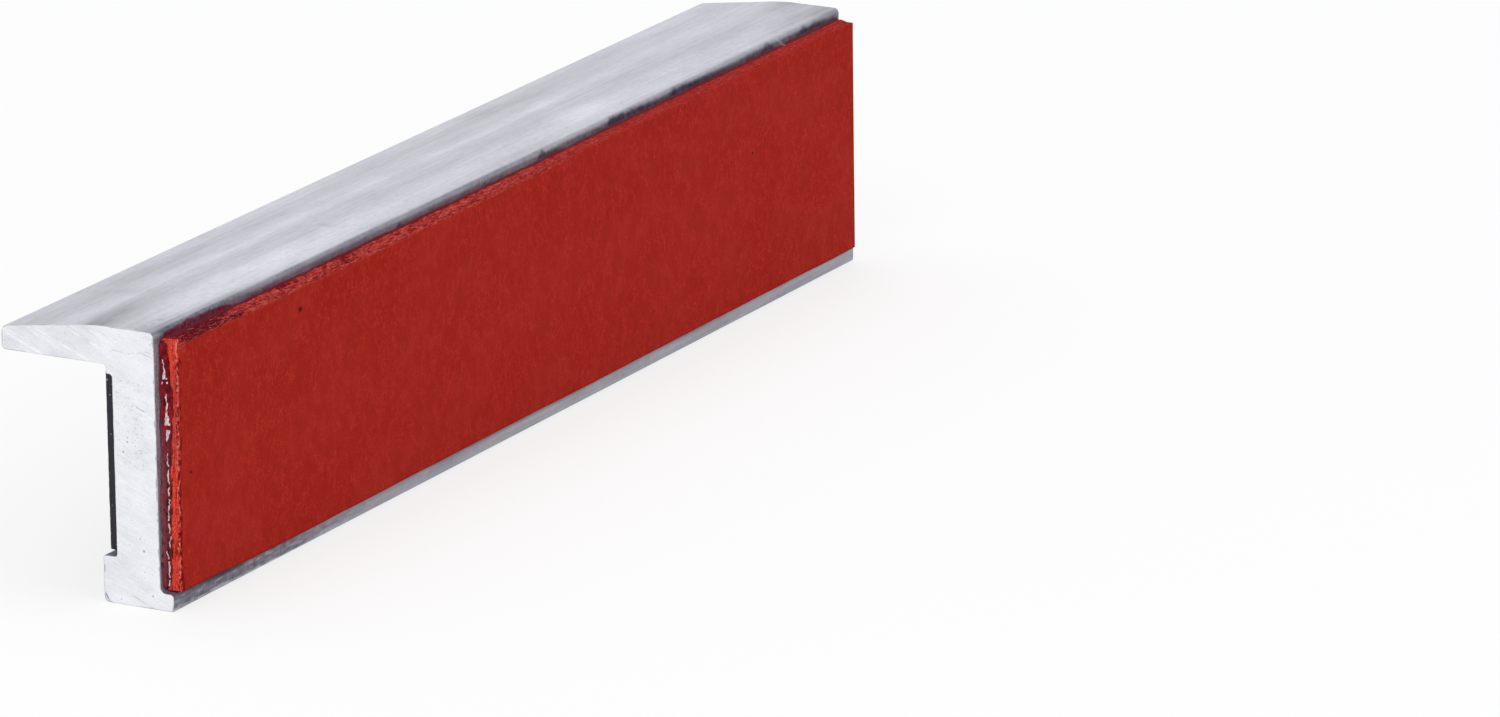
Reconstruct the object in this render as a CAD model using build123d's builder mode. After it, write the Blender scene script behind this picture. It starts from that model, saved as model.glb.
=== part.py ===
from build123d import *
import os

# A clip-on soft jaw for a bench vise. An aluminium extrusion hooks over the top of the
# vise's own jaw, a magnet strip in its back holds it there, and a plate of red fibre
# glued to its front grips the work. Millimetres. +X runs along the jaw, +Y points back
# to the vise and +Z is up. The origin is at mid length, on the base, in the plane of
# the front wall that carries the fibre.

# Extrusion
jaw_length = 125.0
jaw_height = 25.3
web_thickness = 4.4

# Flange that rests on top of the vise's jaw: flat over the web, then falling to its tip
flange_reach = 15.75
flange_seat_height = 21.8
flange_flat_reach = 6.2
flange_tip_thickness = 2.2
knee_radius = 20.0
front_edge_radius = 0.5
tip_upper_radius = 0.8
tip_lower_radius = 0.4
seat_corner_radius = 0.35

# Foot that closes the magnet recess below, and the lip under the fibre
foot_height = 4.3
foot_edge_radius = 0.25
base_edge_radius = 0.5
lip_reach = 1.34
lip_height = 1.6
lip_edge_radius = 0.4
lip_base_radius = 0.25
lip_root_radius = 0.5

# Magnet strip, flush with the back of the foot
magnet_thickness = 1.35
magnet_glue_thickness = 0.1
magnet_end_setback = 1.4
magnet_edge_clearance = 0.15
magnet_glue_inset = 0.5

# Recess shoulder below the flange
shoulder_rise = 0.6
shoulder_height = 0.85
shoulder_edge_radius = 0.12
recess_corner_radius = min(0.3, shoulder_rise / 2)

# Fibre plate on the front
fibre_thickness = 1.5
fibre_height = 22.4
fibre_near_setback = 0.95
fibre_far_setback = 0.45
fibre_lip_clearance = 0.15
fibre_glue_thickness = 0.3
fibre_glue_inset = 0.5

# Bead of glue pressed out past the near end of the fibre
bead_run = 0.6
bead_rise = 0.7
bead_swell = 0.12

# Planes that the pieces share
back_plane = web_thickness + magnet_glue_thickness + magnet_thickness
shoulder_plane = web_thickness + shoulder_rise
recess_top = flange_seat_height - shoulder_height
tip_top = flange_seat_height + flange_tip_thickness
fibre_bottom = lip_height + fibre_lip_clearance
fibre_near_end = fibre_near_setback - jaw_length / 2
fibre_length = jaw_length - fibre_near_setback - fibre_far_setback

# Corners of the extruded section, as (Y, Z) with the radius of each, clockwise from
# the front top edge
section_corners = [
    ((0, jaw_height), front_edge_radius),
    ((flange_flat_reach, jaw_height), knee_radius),
    ((flange_reach, tip_top), tip_upper_radius),
    ((flange_reach, flange_seat_height), tip_lower_radius),
    ((shoulder_plane, flange_seat_height), seat_corner_radius),
    ((shoulder_plane, recess_top), shoulder_edge_radius),
    ((web_thickness, recess_top), recess_corner_radius),
    ((web_thickness, foot_height), recess_corner_radius),
    ((back_plane, foot_height), foot_edge_radius),
    ((back_plane, 0), base_edge_radius),
    ((-lip_reach, 0), lip_base_radius),
    ((-lip_reach, lip_height), lip_edge_radius),
    ((0, lip_height), lip_root_radius),
]

# Jaw body: one extruded bar, sawn square at both ends
with BuildPart() as jaw_body:
    with BuildSketch(Plane.YZ.offset(-jaw_length / 2)):
        with BuildLine():
            FilletPolyline(
                [corner for corner, _ in section_corners],
                radius=[radius for _, radius in section_corners],
                close=True,
            )
        make_face()
    extrude(amount=jaw_length)

# Fibre facing: a guillotined plate, a little short of both ends
with BuildPart() as fibre_facing:
    with BuildSketch(Plane.XY.offset(fibre_bottom)):
        with Locations((fibre_near_end, -fibre_glue_thickness)):
            Rectangle(fibre_length, fibre_thickness, align=(Align.MIN, Align.MAX))
    extrude(amount=fibre_height)

# Facing glue: the layer between the fibre and the front wall, seen in plan, with the
# bead that fills the corner between the wall and the near end of the fibre
with BuildPart() as facing_glue:
    with BuildSketch(Plane.XY.offset(fibre_bottom + fibre_glue_inset)):
        with Locations((fibre_near_end, 0)):
            Rectangle(
                fibre_length - fibre_glue_inset,
                fibre_glue_thickness,
                align=(Align.MIN, Align.MAX),
            )
        with BuildLine():
            wall_corner = (fibre_near_end, 0)
            bead_foot = (fibre_near_end - bead_run, 0)
            bead_crest = (fibre_near_end, -fibre_glue_thickness - bead_rise)
            Line(bead_crest, wall_corner)
            Line(wall_corner, bead_foot)
            SagittaArc(bead_foot, bead_crest, bead_swell)
        make_face()
    extrude(amount=fibre_height - 2 * fibre_glue_inset)

# Magnet strip: flexible magnetic strip laid into the recess
magnet_bottom = foot_height + magnet_edge_clearance
magnet_height = recess_top - foot_height - 2 * magnet_edge_clearance
magnet_length = jaw_length - 2 * magnet_end_setback
with BuildPart() as magnet_strip:
    with BuildSketch(Plane.XY.offset(magnet_bottom)):
        with Locations((0, web_thickness + magnet_glue_thickness)):
            Rectangle(magnet_length, magnet_thickness, align=(Align.CENTER, Align.MIN))
    extrude(amount=magnet_height)

# Magnet glue: the thin adhesive film behind the strip, a little smaller all round
with BuildPart() as magnet_glue:
    with BuildSketch(Plane.XY.offset(magnet_bottom + magnet_glue_inset)):
        with Locations((0, web_thickness)):
            Rectangle(
                magnet_length - 2 * magnet_glue_inset,
                magnet_glue_thickness,
                align=(Align.CENTER, Align.MIN),
            )
    extrude(amount=magnet_height - 2 * magnet_glue_inset)

jaw_body.part.label = "jaw_body"
fibre_facing.part.label = "fibre_facing"
facing_glue.part.label = "facing_glue"
magnet_strip.part.label = "magnet_strip"
magnet_glue.part.label = "magnet_glue"

os.makedirs("parts", exist_ok=True)
export_step(jaw_body.part, "parts/jaw_body.step")
export_step(fibre_facing.part, "parts/fibre_facing.step")
export_step(facing_glue.part, "parts/facing_glue.step")
export_step(magnet_strip.part, "parts/magnet_strip.step")
export_step(magnet_glue.part, "parts/magnet_glue.step")
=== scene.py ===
"""Soft jaw for a bench vise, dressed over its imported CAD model.

The aluminium extrusion, the red fibre facing, the contact glue and the magnet strip are
surfaces worked out with numpy, in millimetres in the CAD frame: +X along the jaw, +Y back
to the vise, +Z up. Each is written to its mesh in metres.
"""

import bpy
import numpy as np
from bpy.props import FloatProperty, FloatVectorProperty, IntProperty, PointerProperty
from mathutils import Matrix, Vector
from mathutils.geometry import delaunay_2d_cdt


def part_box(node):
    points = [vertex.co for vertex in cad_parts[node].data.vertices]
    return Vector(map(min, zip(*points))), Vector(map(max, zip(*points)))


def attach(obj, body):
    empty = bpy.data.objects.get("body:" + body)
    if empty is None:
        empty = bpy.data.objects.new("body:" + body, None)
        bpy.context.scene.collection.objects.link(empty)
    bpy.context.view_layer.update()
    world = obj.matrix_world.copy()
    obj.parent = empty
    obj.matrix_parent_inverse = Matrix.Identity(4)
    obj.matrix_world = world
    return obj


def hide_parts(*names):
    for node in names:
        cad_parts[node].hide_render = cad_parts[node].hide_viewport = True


bl_info = {
    "name": "Vise Jaw",
    "version": (1, 0, 0),
    "blender": (4, 5, 0),
    "location": "View3D > Sidebar > Vise Jaw",
    "description": "Builds the detailed surfaces of a magnetic soft jaw over its CAD model",
    "category": "Add Mesh",
}

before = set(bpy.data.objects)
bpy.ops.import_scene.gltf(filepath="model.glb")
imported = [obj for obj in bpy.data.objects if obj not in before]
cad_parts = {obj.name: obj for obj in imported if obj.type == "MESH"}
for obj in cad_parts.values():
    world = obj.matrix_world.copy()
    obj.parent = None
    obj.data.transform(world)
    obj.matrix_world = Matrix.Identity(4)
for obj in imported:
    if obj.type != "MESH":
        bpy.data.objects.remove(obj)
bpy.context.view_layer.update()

MM = 0.001

# The CAD nodes' own boxes, in millimetres
BAR_LOW, BAR_HIGH = (np.array(corner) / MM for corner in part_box("jaw_body"))
FIBRE_LOW, FIBRE_HIGH = (np.array(corner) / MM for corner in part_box("fibre_facing"))
MAGNET_LOW, MAGNET_HIGH = (np.array(corner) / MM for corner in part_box("magnet_strip"))

# Radius of the long blend over the web, how many steps its arc gets, and the angle
# between points on the arcs of the other corners, at most
KNEE_RADIUS, KNEE_STEPS = 20.0, 14
ARC_STEP = 0.2

# Height from which the front wall shows above the fibre
WALL_SHOWN = 23.9

# Corners of the extruded section, clockwise from the front top edge: y, z, the corner's
# radius, and how far apart the points stand on the run that follows it. The corner without
# a radius only divides the front wall, which shows above the fibre.
SECTION = (
    (0.0, 25.3, 0.5, 0.2),
    (6.2, 25.3, KNEE_RADIUS, 0.2),
    (15.75, 24.0, 0.8, 0.15),
    (15.75, 21.8, 0.4, 0.45),
    (5.0, 21.8, 0.35, 0.2),
    (5.0, 20.95, 0.12, 0.2),
    (4.4, 20.95, 0.3, 0.7),
    (4.4, 4.3, 0.3, 0.3),
    (5.85, 4.3, 0.25, 0.22),
    (5.85, 0.0, 0.5, 0.5),
    (-1.34, 0.0, 0.25, 0.12),
    (-1.34, 1.6, 0.4, 0.2),
    (0.0, 1.6, 0.5, 0.28),
    (0.0, WALL_SHOWN, 0.0, 0.15),
)
BAR_TOP, EDGE_RADIUS = SECTION[0][1:3]
EDGE_FOOT = BAR_TOP - EDGE_RADIUS

# Limits of the parts of the section that carry their own marks. The front wall has y
# below WALL_FRONT and z above WALL_FOOT; its painted dark reflection ends at
# WALL_REFLECTION_TOP and its ragged sawn edge at WALL_TOP. The lip has y below LIP_BACK.
# The ledge lies under the magnet. The foot's back has y above FOOT_Y and z below FOOT_TOP.
# The flange's tip has y above TIP_Y, or lies within TIP_ROUND on the way round the section.
# The top has z above TOP_Z.
WALL_FRONT, WALL_FOOT, WALL_REFLECTION_TOP, WALL_TOP = 0.05, 1.9, 24.2, 24.9
LIP_BACK = -0.2
LEDGE_Y, LEDGE_Z = (4.3, 5.7), (3.9, 4.8)
FOOT_Y, FOOT_TOP = 5.5, 4.4
TIP_Y, TIP_ROUND = 15.3, (15.2, 18.0)
TOP_Z = 23.5

# The saw's arcs climb by SAW_RISE for each SAW_RUN to the back, and bow a little about
# SAW_MIDDLE
SAW_RISE, SAW_RUN, SAW_BOW, SAW_MIDDLE = 0.39, 0.92, 0.004, 4

# Lines that the saw left across the near end, measured on the photograph: y and z of each
# end, half width, depth and tone, where 1 is bright metal and -1 a dark score
NEAR_SCORES = (
    (15.2, 23.4, 11.6, 21.85, 0.05, 0.010, 1.0),
    (15.3, 23.7, 14.2, 23.3, 0.05, 0.010, 0.6),
    (12.9, 24.15, 11.9, 23.5, 0.05, 0.010, 0.9),
    (12.1, 24.1, 6.7, 21.9, 0.045, 0.010, 0.8),
    (11.5, 23.5, 9.6, 22.6, 0.045, 0.008, 0.7),
    (9.3, 24.75, 7.5, 24.0, 0.05, 0.008, 0.7),
    (8.6, 24.9, 7.9, 24.6, 0.04, 0.008, 0.5),
    (6.5, 24.7, 4.3, 23.8, 0.05, 0.008, 0.6),
    (6.5, 23.6, 4.8, 22.95, 0.05, 0.008, 0.6),
    (4.1, 19.0, 0.6, 17.6, 0.05, 0.008, 0.5),
    (3.9, 18.4, 1.2, 17.3, 0.04, 0.008, 0.45),
    (4.2, 14.0, 0.5, 12.5, 0.05, 0.008, 0.4),
    (3.6, 11.4, 0.3, 10.1, 0.05, 0.008, 0.45),
    (4.3, 7.2, 0.8, 5.9, 0.05, 0.008, 0.35),
    (5.7, 2.1, 5.0, 1.8, 0.05, 0.008, 0.8),
    (4.3, 23.2, 2.6, 23.07, 0.04, 0.015, -0.45),
    (2.6, 23.07, 1.4, 23.3, 0.04, 0.015, -0.45),
    (1.4, 23.3, 0.1, 22.95, 0.04, 0.015, -0.45),
    (1.0, 23.5, 0.3, 23.35, 0.03, 0.010, -0.4),
    (3.3, 22.45, 2.1, 22.3, 0.03, 0.010, -0.35),
    (2.1, 22.0, 1.5, 21.9, 0.03, 0.010, -0.4),
    (3.3, 20.05, 1.2, 19.7, 0.035, 0.015, -0.5),
    (2.4, 20.5, 1.4, 20.3, 0.03, 0.010, -0.35),
    (2.9, 18.8, 1.05, 17.9, 0.035, 0.015, -0.40),
    (1.9, 18.2, 0.97, 18.0, 0.04, 0.020, -0.35),
    (1.9, 14.4, 0.2, 14.2, 0.03, 0.010, -0.35),
    (1.7, 11.0, 0.1, 10.4, 0.03, 0.010, -0.4),
    (4.15, 16.68, 3.75, 16.6, 0.07, 0.030, -0.7),
    (5.0, 1.8, 2.9, 0.95, 0.04, 0.020, -0.4),
    (2.9, 0.95, 0.9, 0.1, 0.05, 0.020, -0.45),
    (4.7, 1.8, 2.4, 1.0, 0.03, 0.010, -0.25),
    (15.68, 23.8, 15.70, 22.2, 0.06, 0.020, -1.0),
    (15.52, 24.1, 15.55, 22.2, 0.05, 0.005, 0.8),
    (5.76, 3.35, 5.76, 2.95, 0.08, 0.060, -1.2),
    (5.72, 0.75, 5.25, 0.10, 0.07, 0.040, -1.0),
)

# Small pits on the same end: y, z, radius and tone
NEAR_PITS = (
    (3.00, 15.00, 0.10, -0.8),
    (2.96, 15.40, 0.08, -0.6),
    (3.44, 14.05, 0.10, -0.8),
    (2.16, 14.70, 0.07, -0.7),
    (1.95, 15.50, 0.06, -0.5),
    (1.10, 17.10, 0.06, -0.5),
    (0.35, 24.20, 0.08, -0.6),
    (1.94, 6.30, 0.09, -0.7),
    (1.60, 5.20, 0.12, -1.0),
    (3.07, 5.59, 0.07, -0.5),
    (1.57, 3.30, 0.07, -0.6),
    (1.56, 2.75, 0.07, -0.5),
    (0.80, 1.19, 0.10, -0.8),
    (4.10, 0.46, 0.09, -0.7),
)

# Scattered pits on each end: their number, and the lowest and highest y and z they lie in
PIT_FIELD = (110, 1.2, 4.0, 12.6, 20.6)

# The far end isn't seen in the photograph. It gets a few lines of the same kind.
FAR_SCORES = (
    (14.6, 23.6, 9.1, 22.0, 0.06, 0.010, 0.8),
    (11.0, 24.2, 5.1, 22.3, 0.06, 0.010, 0.7),
    (4.2, 19.6, 0.3, 17.9, 0.06, 0.010, 0.6),
    (4.0, 12.7, 0.5, 11.2, 0.06, 0.010, 0.5),
    (3.6, 8.9, 1.1, 8.0, 0.05, 0.015, -0.5),
    (5.5, 2.4, 1.2, 0.7, 0.05, 0.020, -0.45),
)

# The marks of each sawn end, with the seed of its clouds, and how far apart its points
# stand: closer on the near end, which the photograph shows
NEAR_SAW, NEAR_SPACING = (NEAR_SCORES, NEAR_PITS, 50), 0.088
FAR_SAW, FAR_SPACING = (FAR_SCORES, (), 90), 0.15

# How far each point of a sawn end is moved out of line, and how far all of them stay from
# the outline, both as shares of their spacing, and how many parts they are sorted in
END_JITTER, END_MARGIN, END_PARTS = 0.22, 0.75, 12

# Edges of the extrusion that turn by more degrees than this stay sharp
SHARP_ANGLE = 50

# Lighter and darker parts of the top, measured on the photograph: x and y of the middle,
# half length, half width and tone. They are partly the metal's own streaks and partly
# painted shading of the top and its curve. The first six run the whole length.
TOP_TONES = (
    (0.0, 2.3, 400.0, 1.6, 0.55),
    (0.0, 5.6, 400.0, 1.2, -0.35),
    (0.0, 8.4, 400.0, 0.8, 0.50),
    (0.0, 9.6, 400.0, 0.6, 0.20),
    (0.0, 12.2, 400.0, 1.3, -0.45),
    (0.0, 14.6, 400.0, 0.5, 0.20),
    (-63.0, 5.8, 6.5, 1.8, -2.4),
    (-56.0, 6.7, 6.5, 1.1, -0.9),
    (-63.5, 1.4, 5.0, 2.0, -2.0),
    (-55.0, 0.5, 9.0, 0.6, -0.7),
    (-58.8, 0.74, 2.2, 0.10, -1.6),
    (-37.0, 2.7, 17.0, 1.6, 0.95),
    (-46.0, 4.3, 8.0, 0.7, 0.60),
    (-34.0, 8.3, 13.0, 0.8, 0.40),
    (-32.0, 4.6, 14.0, 0.25, -0.35),
    (-51.0, 11.2, 0.7, 4.2, -0.55),
    (-16.5, 6.1, 2.2, 2.0, -0.35),
    (-26.1, 4.4, 0.35, 0.8, -1.3),
    (-25.9, 2.9, 0.3, 0.3, -1.2),
    (5.0, 1.0, 9.0, 0.9, -0.60),
    (18.5, 3.0, 4.2, 1.4, 1.0),
    (17.5, 5.0, 3.0, 1.2, 0.50),
    (17.0, 8.3, 6.0, 0.8, 0.55),
    (16.0, 12.6, 10.0, 1.4, -0.40),
    (-52.0, 12.6, 14.0, 1.6, -0.35),
    (-20.0, 13.6, 6.0, 2.0, 0.40),
    (52.0, 13.4, 14.0, 2.4, 0.45),
    (64.0, 1.6, 12.0, 2.4, -2.0),
    (64.0, 5.3, 6.0, 1.5, -1.1),
)

# Small dark dots on the top near the same end: x, y, radius and tone
TOP_DOTS = (
    (-60.0, 1.60, 0.16, -1.6),
    (-58.7, 1.70, 0.28, -2.0),
    (-60.7, 1.90, 0.12, -1.2),
    (-57.9, 4.10, 0.16, -0.9),
    (-50.9, 1.90, 0.14, -1.3),
    (-49.3, 1.50, 0.18, -1.2),
    (-48.6, 2.30, 0.12, -1.0),
    (-47.3, 1.00, 0.22, -1.2),
    (-46.4, 1.30, 0.14, -1.0),
    (-45.3, 1.90, 0.14, -0.7),
    (-42.2, 14.30, 0.30, -1.0),
)

# Marks on the lip near the same end, measured on the photograph: a dark streak, by x and z
# of its middle, half length and half width, and a painted shadow line under the fibre, by
# x, z and half length
LIP_STREAK = (-51, 1.0, 7, 0.08)
LIP_SHADOW_LINE = (-54, 1.10, 4.5)

# A scrape across the smeared glue, measured on the photograph: x at its foot, how far it
# leans back for each millimetre up, and half width
SCRAPE = (51.6, 1.3, 0.22)

# How far the glue has soaked into the fibre, measured on the photograph: x on the top
# edge, and lowest and highest z on the cut end
SOAKED_X = -48.5
SOAKED_Z = (12.5, 22.5)

# Heights on the fibre's near end, measured on the photograph: where its back begins to
# swell, where painted shade begins in its back corner against the wall, and where its
# front edge is crushed
SWELL_Z, CORNER_Z, CRUSH_Z = 22.1, 21.8, 23.45

# Corners of the foot and the lip where the saw broke more metal away: y, z and size
CORNER_NICKS = (
    (5.85, 3.1, 0.35),
    (5.6, 0.1, 0.5),
    (-1.3, 0.3, 0.3),
)

# How far in from each end the sections stand over which the sawn edge is rounded. The
# sections between them begin at BODY_START, run BODY_SHORT less than the bar's length, and
# crowd towards the near end by this power.
RIM_INSETS = (0, 0.02, 0.05, 0.09, 0.16, 0.28, 0.45, 0.65)
BODY_START, BODY_SHORT, BODY_CROWDING = 0.85, 1.75, 1.35

# The glue bead's drips, measured on the photograph: z of the upper and lower end, y of
# both, and half width at both. Each drip is a ridge that carries a painted highlight.
DRIPS = (
    (22.75, 22.25, -0.28, -0.36, 0.07, 0.03),
    (22.45, 20.90, -0.40, -0.46, 0.05, 0.26),
    (20.75, 20.45, -0.27, -0.26, 0.06, 0.03),
    (20.75, 20.50, -0.72, -0.75, 0.06, 0.03),
    (19.75, 16.75, -0.60, -0.68, 0.055, 0.26),
    (16.45, 15.30, -0.74, -0.58, 0.19, 0.04),
    (14.30, 13.00, -0.60, -0.66, 0.04, 0.055),
    (12.85, 11.40, -0.66, -0.72, 0.07, 0.055),
    (11.25, 10.30, -0.68, -0.72, 0.055, 0.06),
    (10.20, 8.10, -0.74, -0.68, 0.05, 0.06),
    (7.95, 6.90, -0.68, -0.75, 0.055, 0.05),
    (6.75, 5.60, -0.72, -0.68, 0.04, 0.045),
    (5.45, 4.60, -0.44, -0.66, 0.03, 0.05),
    (4.50, 2.90, -0.68, -0.62, 0.045, 0.04),
    (2.75, 2.10, -0.60, -0.58, 0.04, 0.035),
)

# How far across the cut face the bead reaches, measured on the photograph: z and y
BEAD_CREST = (
    (1.70, -0.68),
    (3.00, -0.82),
    (8.00, -0.88),
    (13.0, -0.90),
    (15.2, -1.00),
    (16.3, -1.12),
    (19.6, -1.08),
    (21.4, -0.94),
    (22.7, -0.76),
    (24.3, -0.72),
)

# Upper limit of the glue smeared over the bar's front top edge, measured on the
# photograph: x, and how far above the fibre it reaches, along the surface
SMEAR_LINE = (
    (-61.5, 0.45),
    (-60.8, 0.60),
    (-60.0, 0.80),
    (-58.7, 0.76),
    (-57.0, 0.88),
    (-53.0, 0.84),
    (-51.0, 0.62),
    (-49.5, 0.40),
    (-48.2, 0.22),
    (-46.5, 0.18),
    (-21.6, 0.16),
    (-20.8, 0.50),
    (-19.0, 0.30),
    (-16.8, 0.12),
    (-7.2, 0.10),
    (-5.6, 0.55),
    (-4.0, 0.14),
    (3.7, 0.12),
    (5.0, 1.00),
    (5.6, 0.60),
    (7.4, 0.45),
    (8.6, 0.18),
    (16.8, 0.34),
    (17.7, 1.02),
    (20.5, 0.94),
    (23.5, 0.76),
    (26.0, 0.54),
    (28.7, 0.44),
    (29.6, 1.02),
    (31.8, 0.86),
    (34.5, 0.66),
    (40.0, 0.46),
    (46.7, 0.44),
    (48.0, 1.05),
    (49.0, 0.60),
    (50.0, 0.15),
    (53.4, 0.35),
    (55.3, 0.95),
    (56.3, 0.50),
    (57.5, 0.90),
    (59.5, 0.62),
    (61.8, 0.45),
)

# Dark flecks on the fibre's face, measured on the photograph: place and size
FIBRE_FLECKS = (
    ((-41.0, -1.8, 22.1), (0.42, 1.0, 0.27)),
    ((-59.8, -1.8, 12.2), (0.22, 1.0, 0.13)),
    ((41.7, -1.8, 16.05), (0.22, 1.0, 0.16)),
)

# How far in from an edge the points of a slab stand, near an upright edge, near the
# fibre's top and bottom, and along the piece that is the fibre's cut end
EDGE_CROWD = (0, 0.03, 0.08, 0.15, 0.25, 0.4)
HEIGHT_CROWD = (0, 0.04, 0.09, 0.15, 0.23, 0.33)
PLATE_CROWD = (*HEIGHT_CROWD, 0.5)
CUT_CROWD = (0, 0.03, 0.07, 0.12, 0.18, 0.25, 0.32, 0.40, 0.48, 0.56, 0.64, 0.72, 0.82, 0.92, 1.05)

# Where the plate's points stand along it, from its near end: first, last and step, close
# together and then wider. The plate begins PLATE_START in, behind the piece that is its
# cut end, so the places are squeezed from the second length to the first.
PLATE_CLOSE, PLATE_WIDE = (0.4, 34, 0.15), (34.1, 123.1, 0.34)
PLATE_START, PLATE_SQUEEZE = 0.3, (123.0, 123.4)

# How many points lie through the plate and through its cut end, and how far apart they
# stand up them
PLATE_ROWS, PLATE_STEP = 31, 0.55
CUT_ROWS, CUT_STEP = 39, 0.12

# Radius of the fibre's edges before they are torn
FIBRE_EDGE = 0.05

# The piece that is the cut end stands CUT_PROUD out past the plate. From CUT_BORDER on it
# dives by CUT_DIVE, over CUT_SLOPE.
CUT_PROUD, CUT_BORDER, CUT_DIVE, CUT_SLOPE = 0.012, 0.72, 0.09, 0.3

# How far above the fibre's bottom and its top the glue bead begins and ends, and how many
# points lie up and round it
BEAD_FOOT, BEAD_HEAD = 0.1, 0.15
BEAD_RINGS, BEAD_ROWS = 470, 34

# The skin of the front top edge: how many points lie along it, up the wall and round the
# arc, where they stand on the top, how far from the bar's near and far end the skin stops,
# and how deep in the metal its underside lies
SKIN_STATIONS, SKIN_WALL, SKIN_ARC = 1150, 15, 12
SKIN_TOP = (0.58, 0.68, 0.80, 0.95, 1.1, 1.2)
SKIN_INSETS = (0.45, 0.4)
SKIN_DEPTH = 0.12

# How far apart the magnet strip's points stand along it and up it, and how many lie
# through it
BAND_ALONG, BAND_UP, BAND_ROWS = 0.75, 0.3, 11

# The loose fibres: the share that stand on the top edge, least and greatest length and
# radius, points along and round each, and the seeds of their places and their bends
TOP_STRANDS = 0.66
STRAND_LENGTHS, STRAND_RADII = (0.08, 0.28), (0.014, 0.030)
STRAND_RINGS, STRAND_SIDES = 6, 4
STRAND_SEED, BEND_SEED = 83, 84

# Large odd numbers that stir a place and a seed into a height, and the bits that are kept
STIR_I, STIR_J, STIR_SEED, STIR_AGAIN = 374761393, 668265263, 974634777, 1274126177
LOW_32_BITS = 0xFFFFFFFF

# The camera, fitted to the photograph: its turn about the jaw, its height and its roll in
# degrees, and how far it stands to the right of the jaw's middle, above it and back from
# it, in millimetres
CAMERA_TURN = (-60.881, 16.509, -0.728)
CAMERA_STAND = (21.271, 6.150, 939.816)
SENSOR_WIDTH = 36

# Soft lamps: name, place and side in metres, and power in watts
LAMPS = (
    ("lamp_left", (-0.75, -0.15, 0.75), 0.7, 2.5),
    ("lamp_front", (-0.10, -0.95, 0.70), 0.7, 2.2),
    ("lamp_top", (0.15, 0.25, 1.05), 0.9, 3.0),
)

# Half the floor's side in metres, how much of the floor is white paper to the camera, and
# the strength of the surroundings: as light on the jaw, and as the white behind it
FLOOR_REACH = 6.0
PAPER_SHARE = 0.70
ROOM_LIGHT, ROOM_WHITE = 0.62, 1.0


class BarSettings(bpy.types.PropertyGroup):
    """What a user would change on the aluminium extrusion."""

    colour: FloatVectorProperty(
        name="Colour",
        description="Aluminium as extruded",
        default=(0.505, 0.505, 0.56),
        subtype="COLOR",
        min=0,
        max=1,
    )
    sawn_colour: FloatVectorProperty(
        name="Sawn Colour",
        description="Bright aluminium of the sawn ends",
        default=(0.90, 0.91, 0.95),
        subtype="COLOR",
        min=0,
        max=1,
    )
    smear_colour: FloatVectorProperty(
        name="Smear Colour",
        description="Thin dark glue smeared over the front top edge",
        default=(0.034, 0.031, 0.052),
        subtype="COLOR",
        min=0,
        max=1,
    )
    edge_break: FloatProperty(
        name="Edge Break",
        description="How far the saw's burr is taken off round both ends",
        default=0.06 * MM,
        min=0.01 * MM,
        max=0.1 * MM,
        subtype="DISTANCE",
        unit="LENGTH",
    )
    die_line_depth: FloatProperty(
        name="Die Line Depth",
        description="Depth of the lines that the die draws along the bar",
        default=0.005 * MM,
        min=0,
        max=0.05 * MM,
        subtype="DISTANCE",
        unit="LENGTH",
    )
    stations: IntProperty(
        name="Stations",
        description="Sections along the bar",
        default=190,
        min=20,
        max=260,
    )


class FibreSettings(bpy.types.PropertyGroup):
    """What a user would change on the fibre facing."""

    colour: FloatVectorProperty(
        name="Colour",
        description="Red vulcanised fibre",
        default=(0.416, 0.0166, 0.0080),
        subtype="COLOR",
        min=0,
        max=1,
    )
    cut_colour: FloatVectorProperty(
        name="Cut Colour",
        description="Freshly sheared fibre at the ends",
        default=(0.88, 0.072, 0.036),
        subtype="COLOR",
        min=0,
        max=1,
    )
    fray_height: FloatProperty(
        name="Fray Height",
        description="How far the plies stand out along the top edge",
        default=0.14 * MM,
        min=0,
        max=0.4 * MM,
        subtype="DISTANCE",
        unit="LENGTH",
    )
    strands: IntProperty(
        name="Loose Fibres",
        description="Loose fibres along the cut edges",
        default=900,
        min=0,
        max=3000,
    )


class GlueSettings(bpy.types.PropertyGroup):
    """What a user would change on the contact glue."""

    colour: FloatVectorProperty(
        name="Colour",
        description="Cured glue, stained by the fibre",
        default=(0.130, 0.0025, 0.0060),
        subtype="COLOR",
        min=0,
        max=1,
    )
    bead_width: FloatProperty(
        name="Bead Width",
        description="How far the bead runs out past the near end of the fibre",
        default=0.6 * MM,
        min=0.1 * MM,
        max=0.9 * MM,
        subtype="DISTANCE",
        unit="LENGTH",
    )


class MagnetSettings(bpy.types.PropertyGroup):
    """What a user would change on the magnet strip."""

    colour: FloatVectorProperty(
        name="Colour",
        description="Ferrite-filled rubber strip",
        default=(0.019, 0.019, 0.031),
        subtype="COLOR",
        min=0,
        max=1,
    )
    edge_radius: FloatProperty(
        name="Edge Radius",
        description="Radius of the strip's edges",
        default=0.08 * MM,
        min=0.02 * MM,
        max=0.5 * MM,
        subtype="DISTANCE",
        unit="LENGTH",
    )


class StageSettings(bpy.types.PropertyGroup):
    """What a user would change on the stage."""

    floor_colour: FloatVectorProperty(
        name="Floor Colour",
        description="Pale floor under the jaw",
        default=(0.93, 0.93, 0.94),
        subtype="COLOR",
        min=0,
        max=1,
    )
    lens: FloatProperty(
        name="Lens",
        description="Focal length of the camera that took the photograph",
        default=243.6,
        min=20,
        unit="CAMERA",
    )


def ease(t):
    """Smooth step from 0 to 1 as t goes from 0 to 1, level at both ends."""
    t = np.clip(t, 0, 1)
    return t * t * (3 - 2 * t)


def bell(t):
    """1 where t is nought, falling off to both sides: e to minus the square of t."""
    return np.exp(-(t**2))


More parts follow.
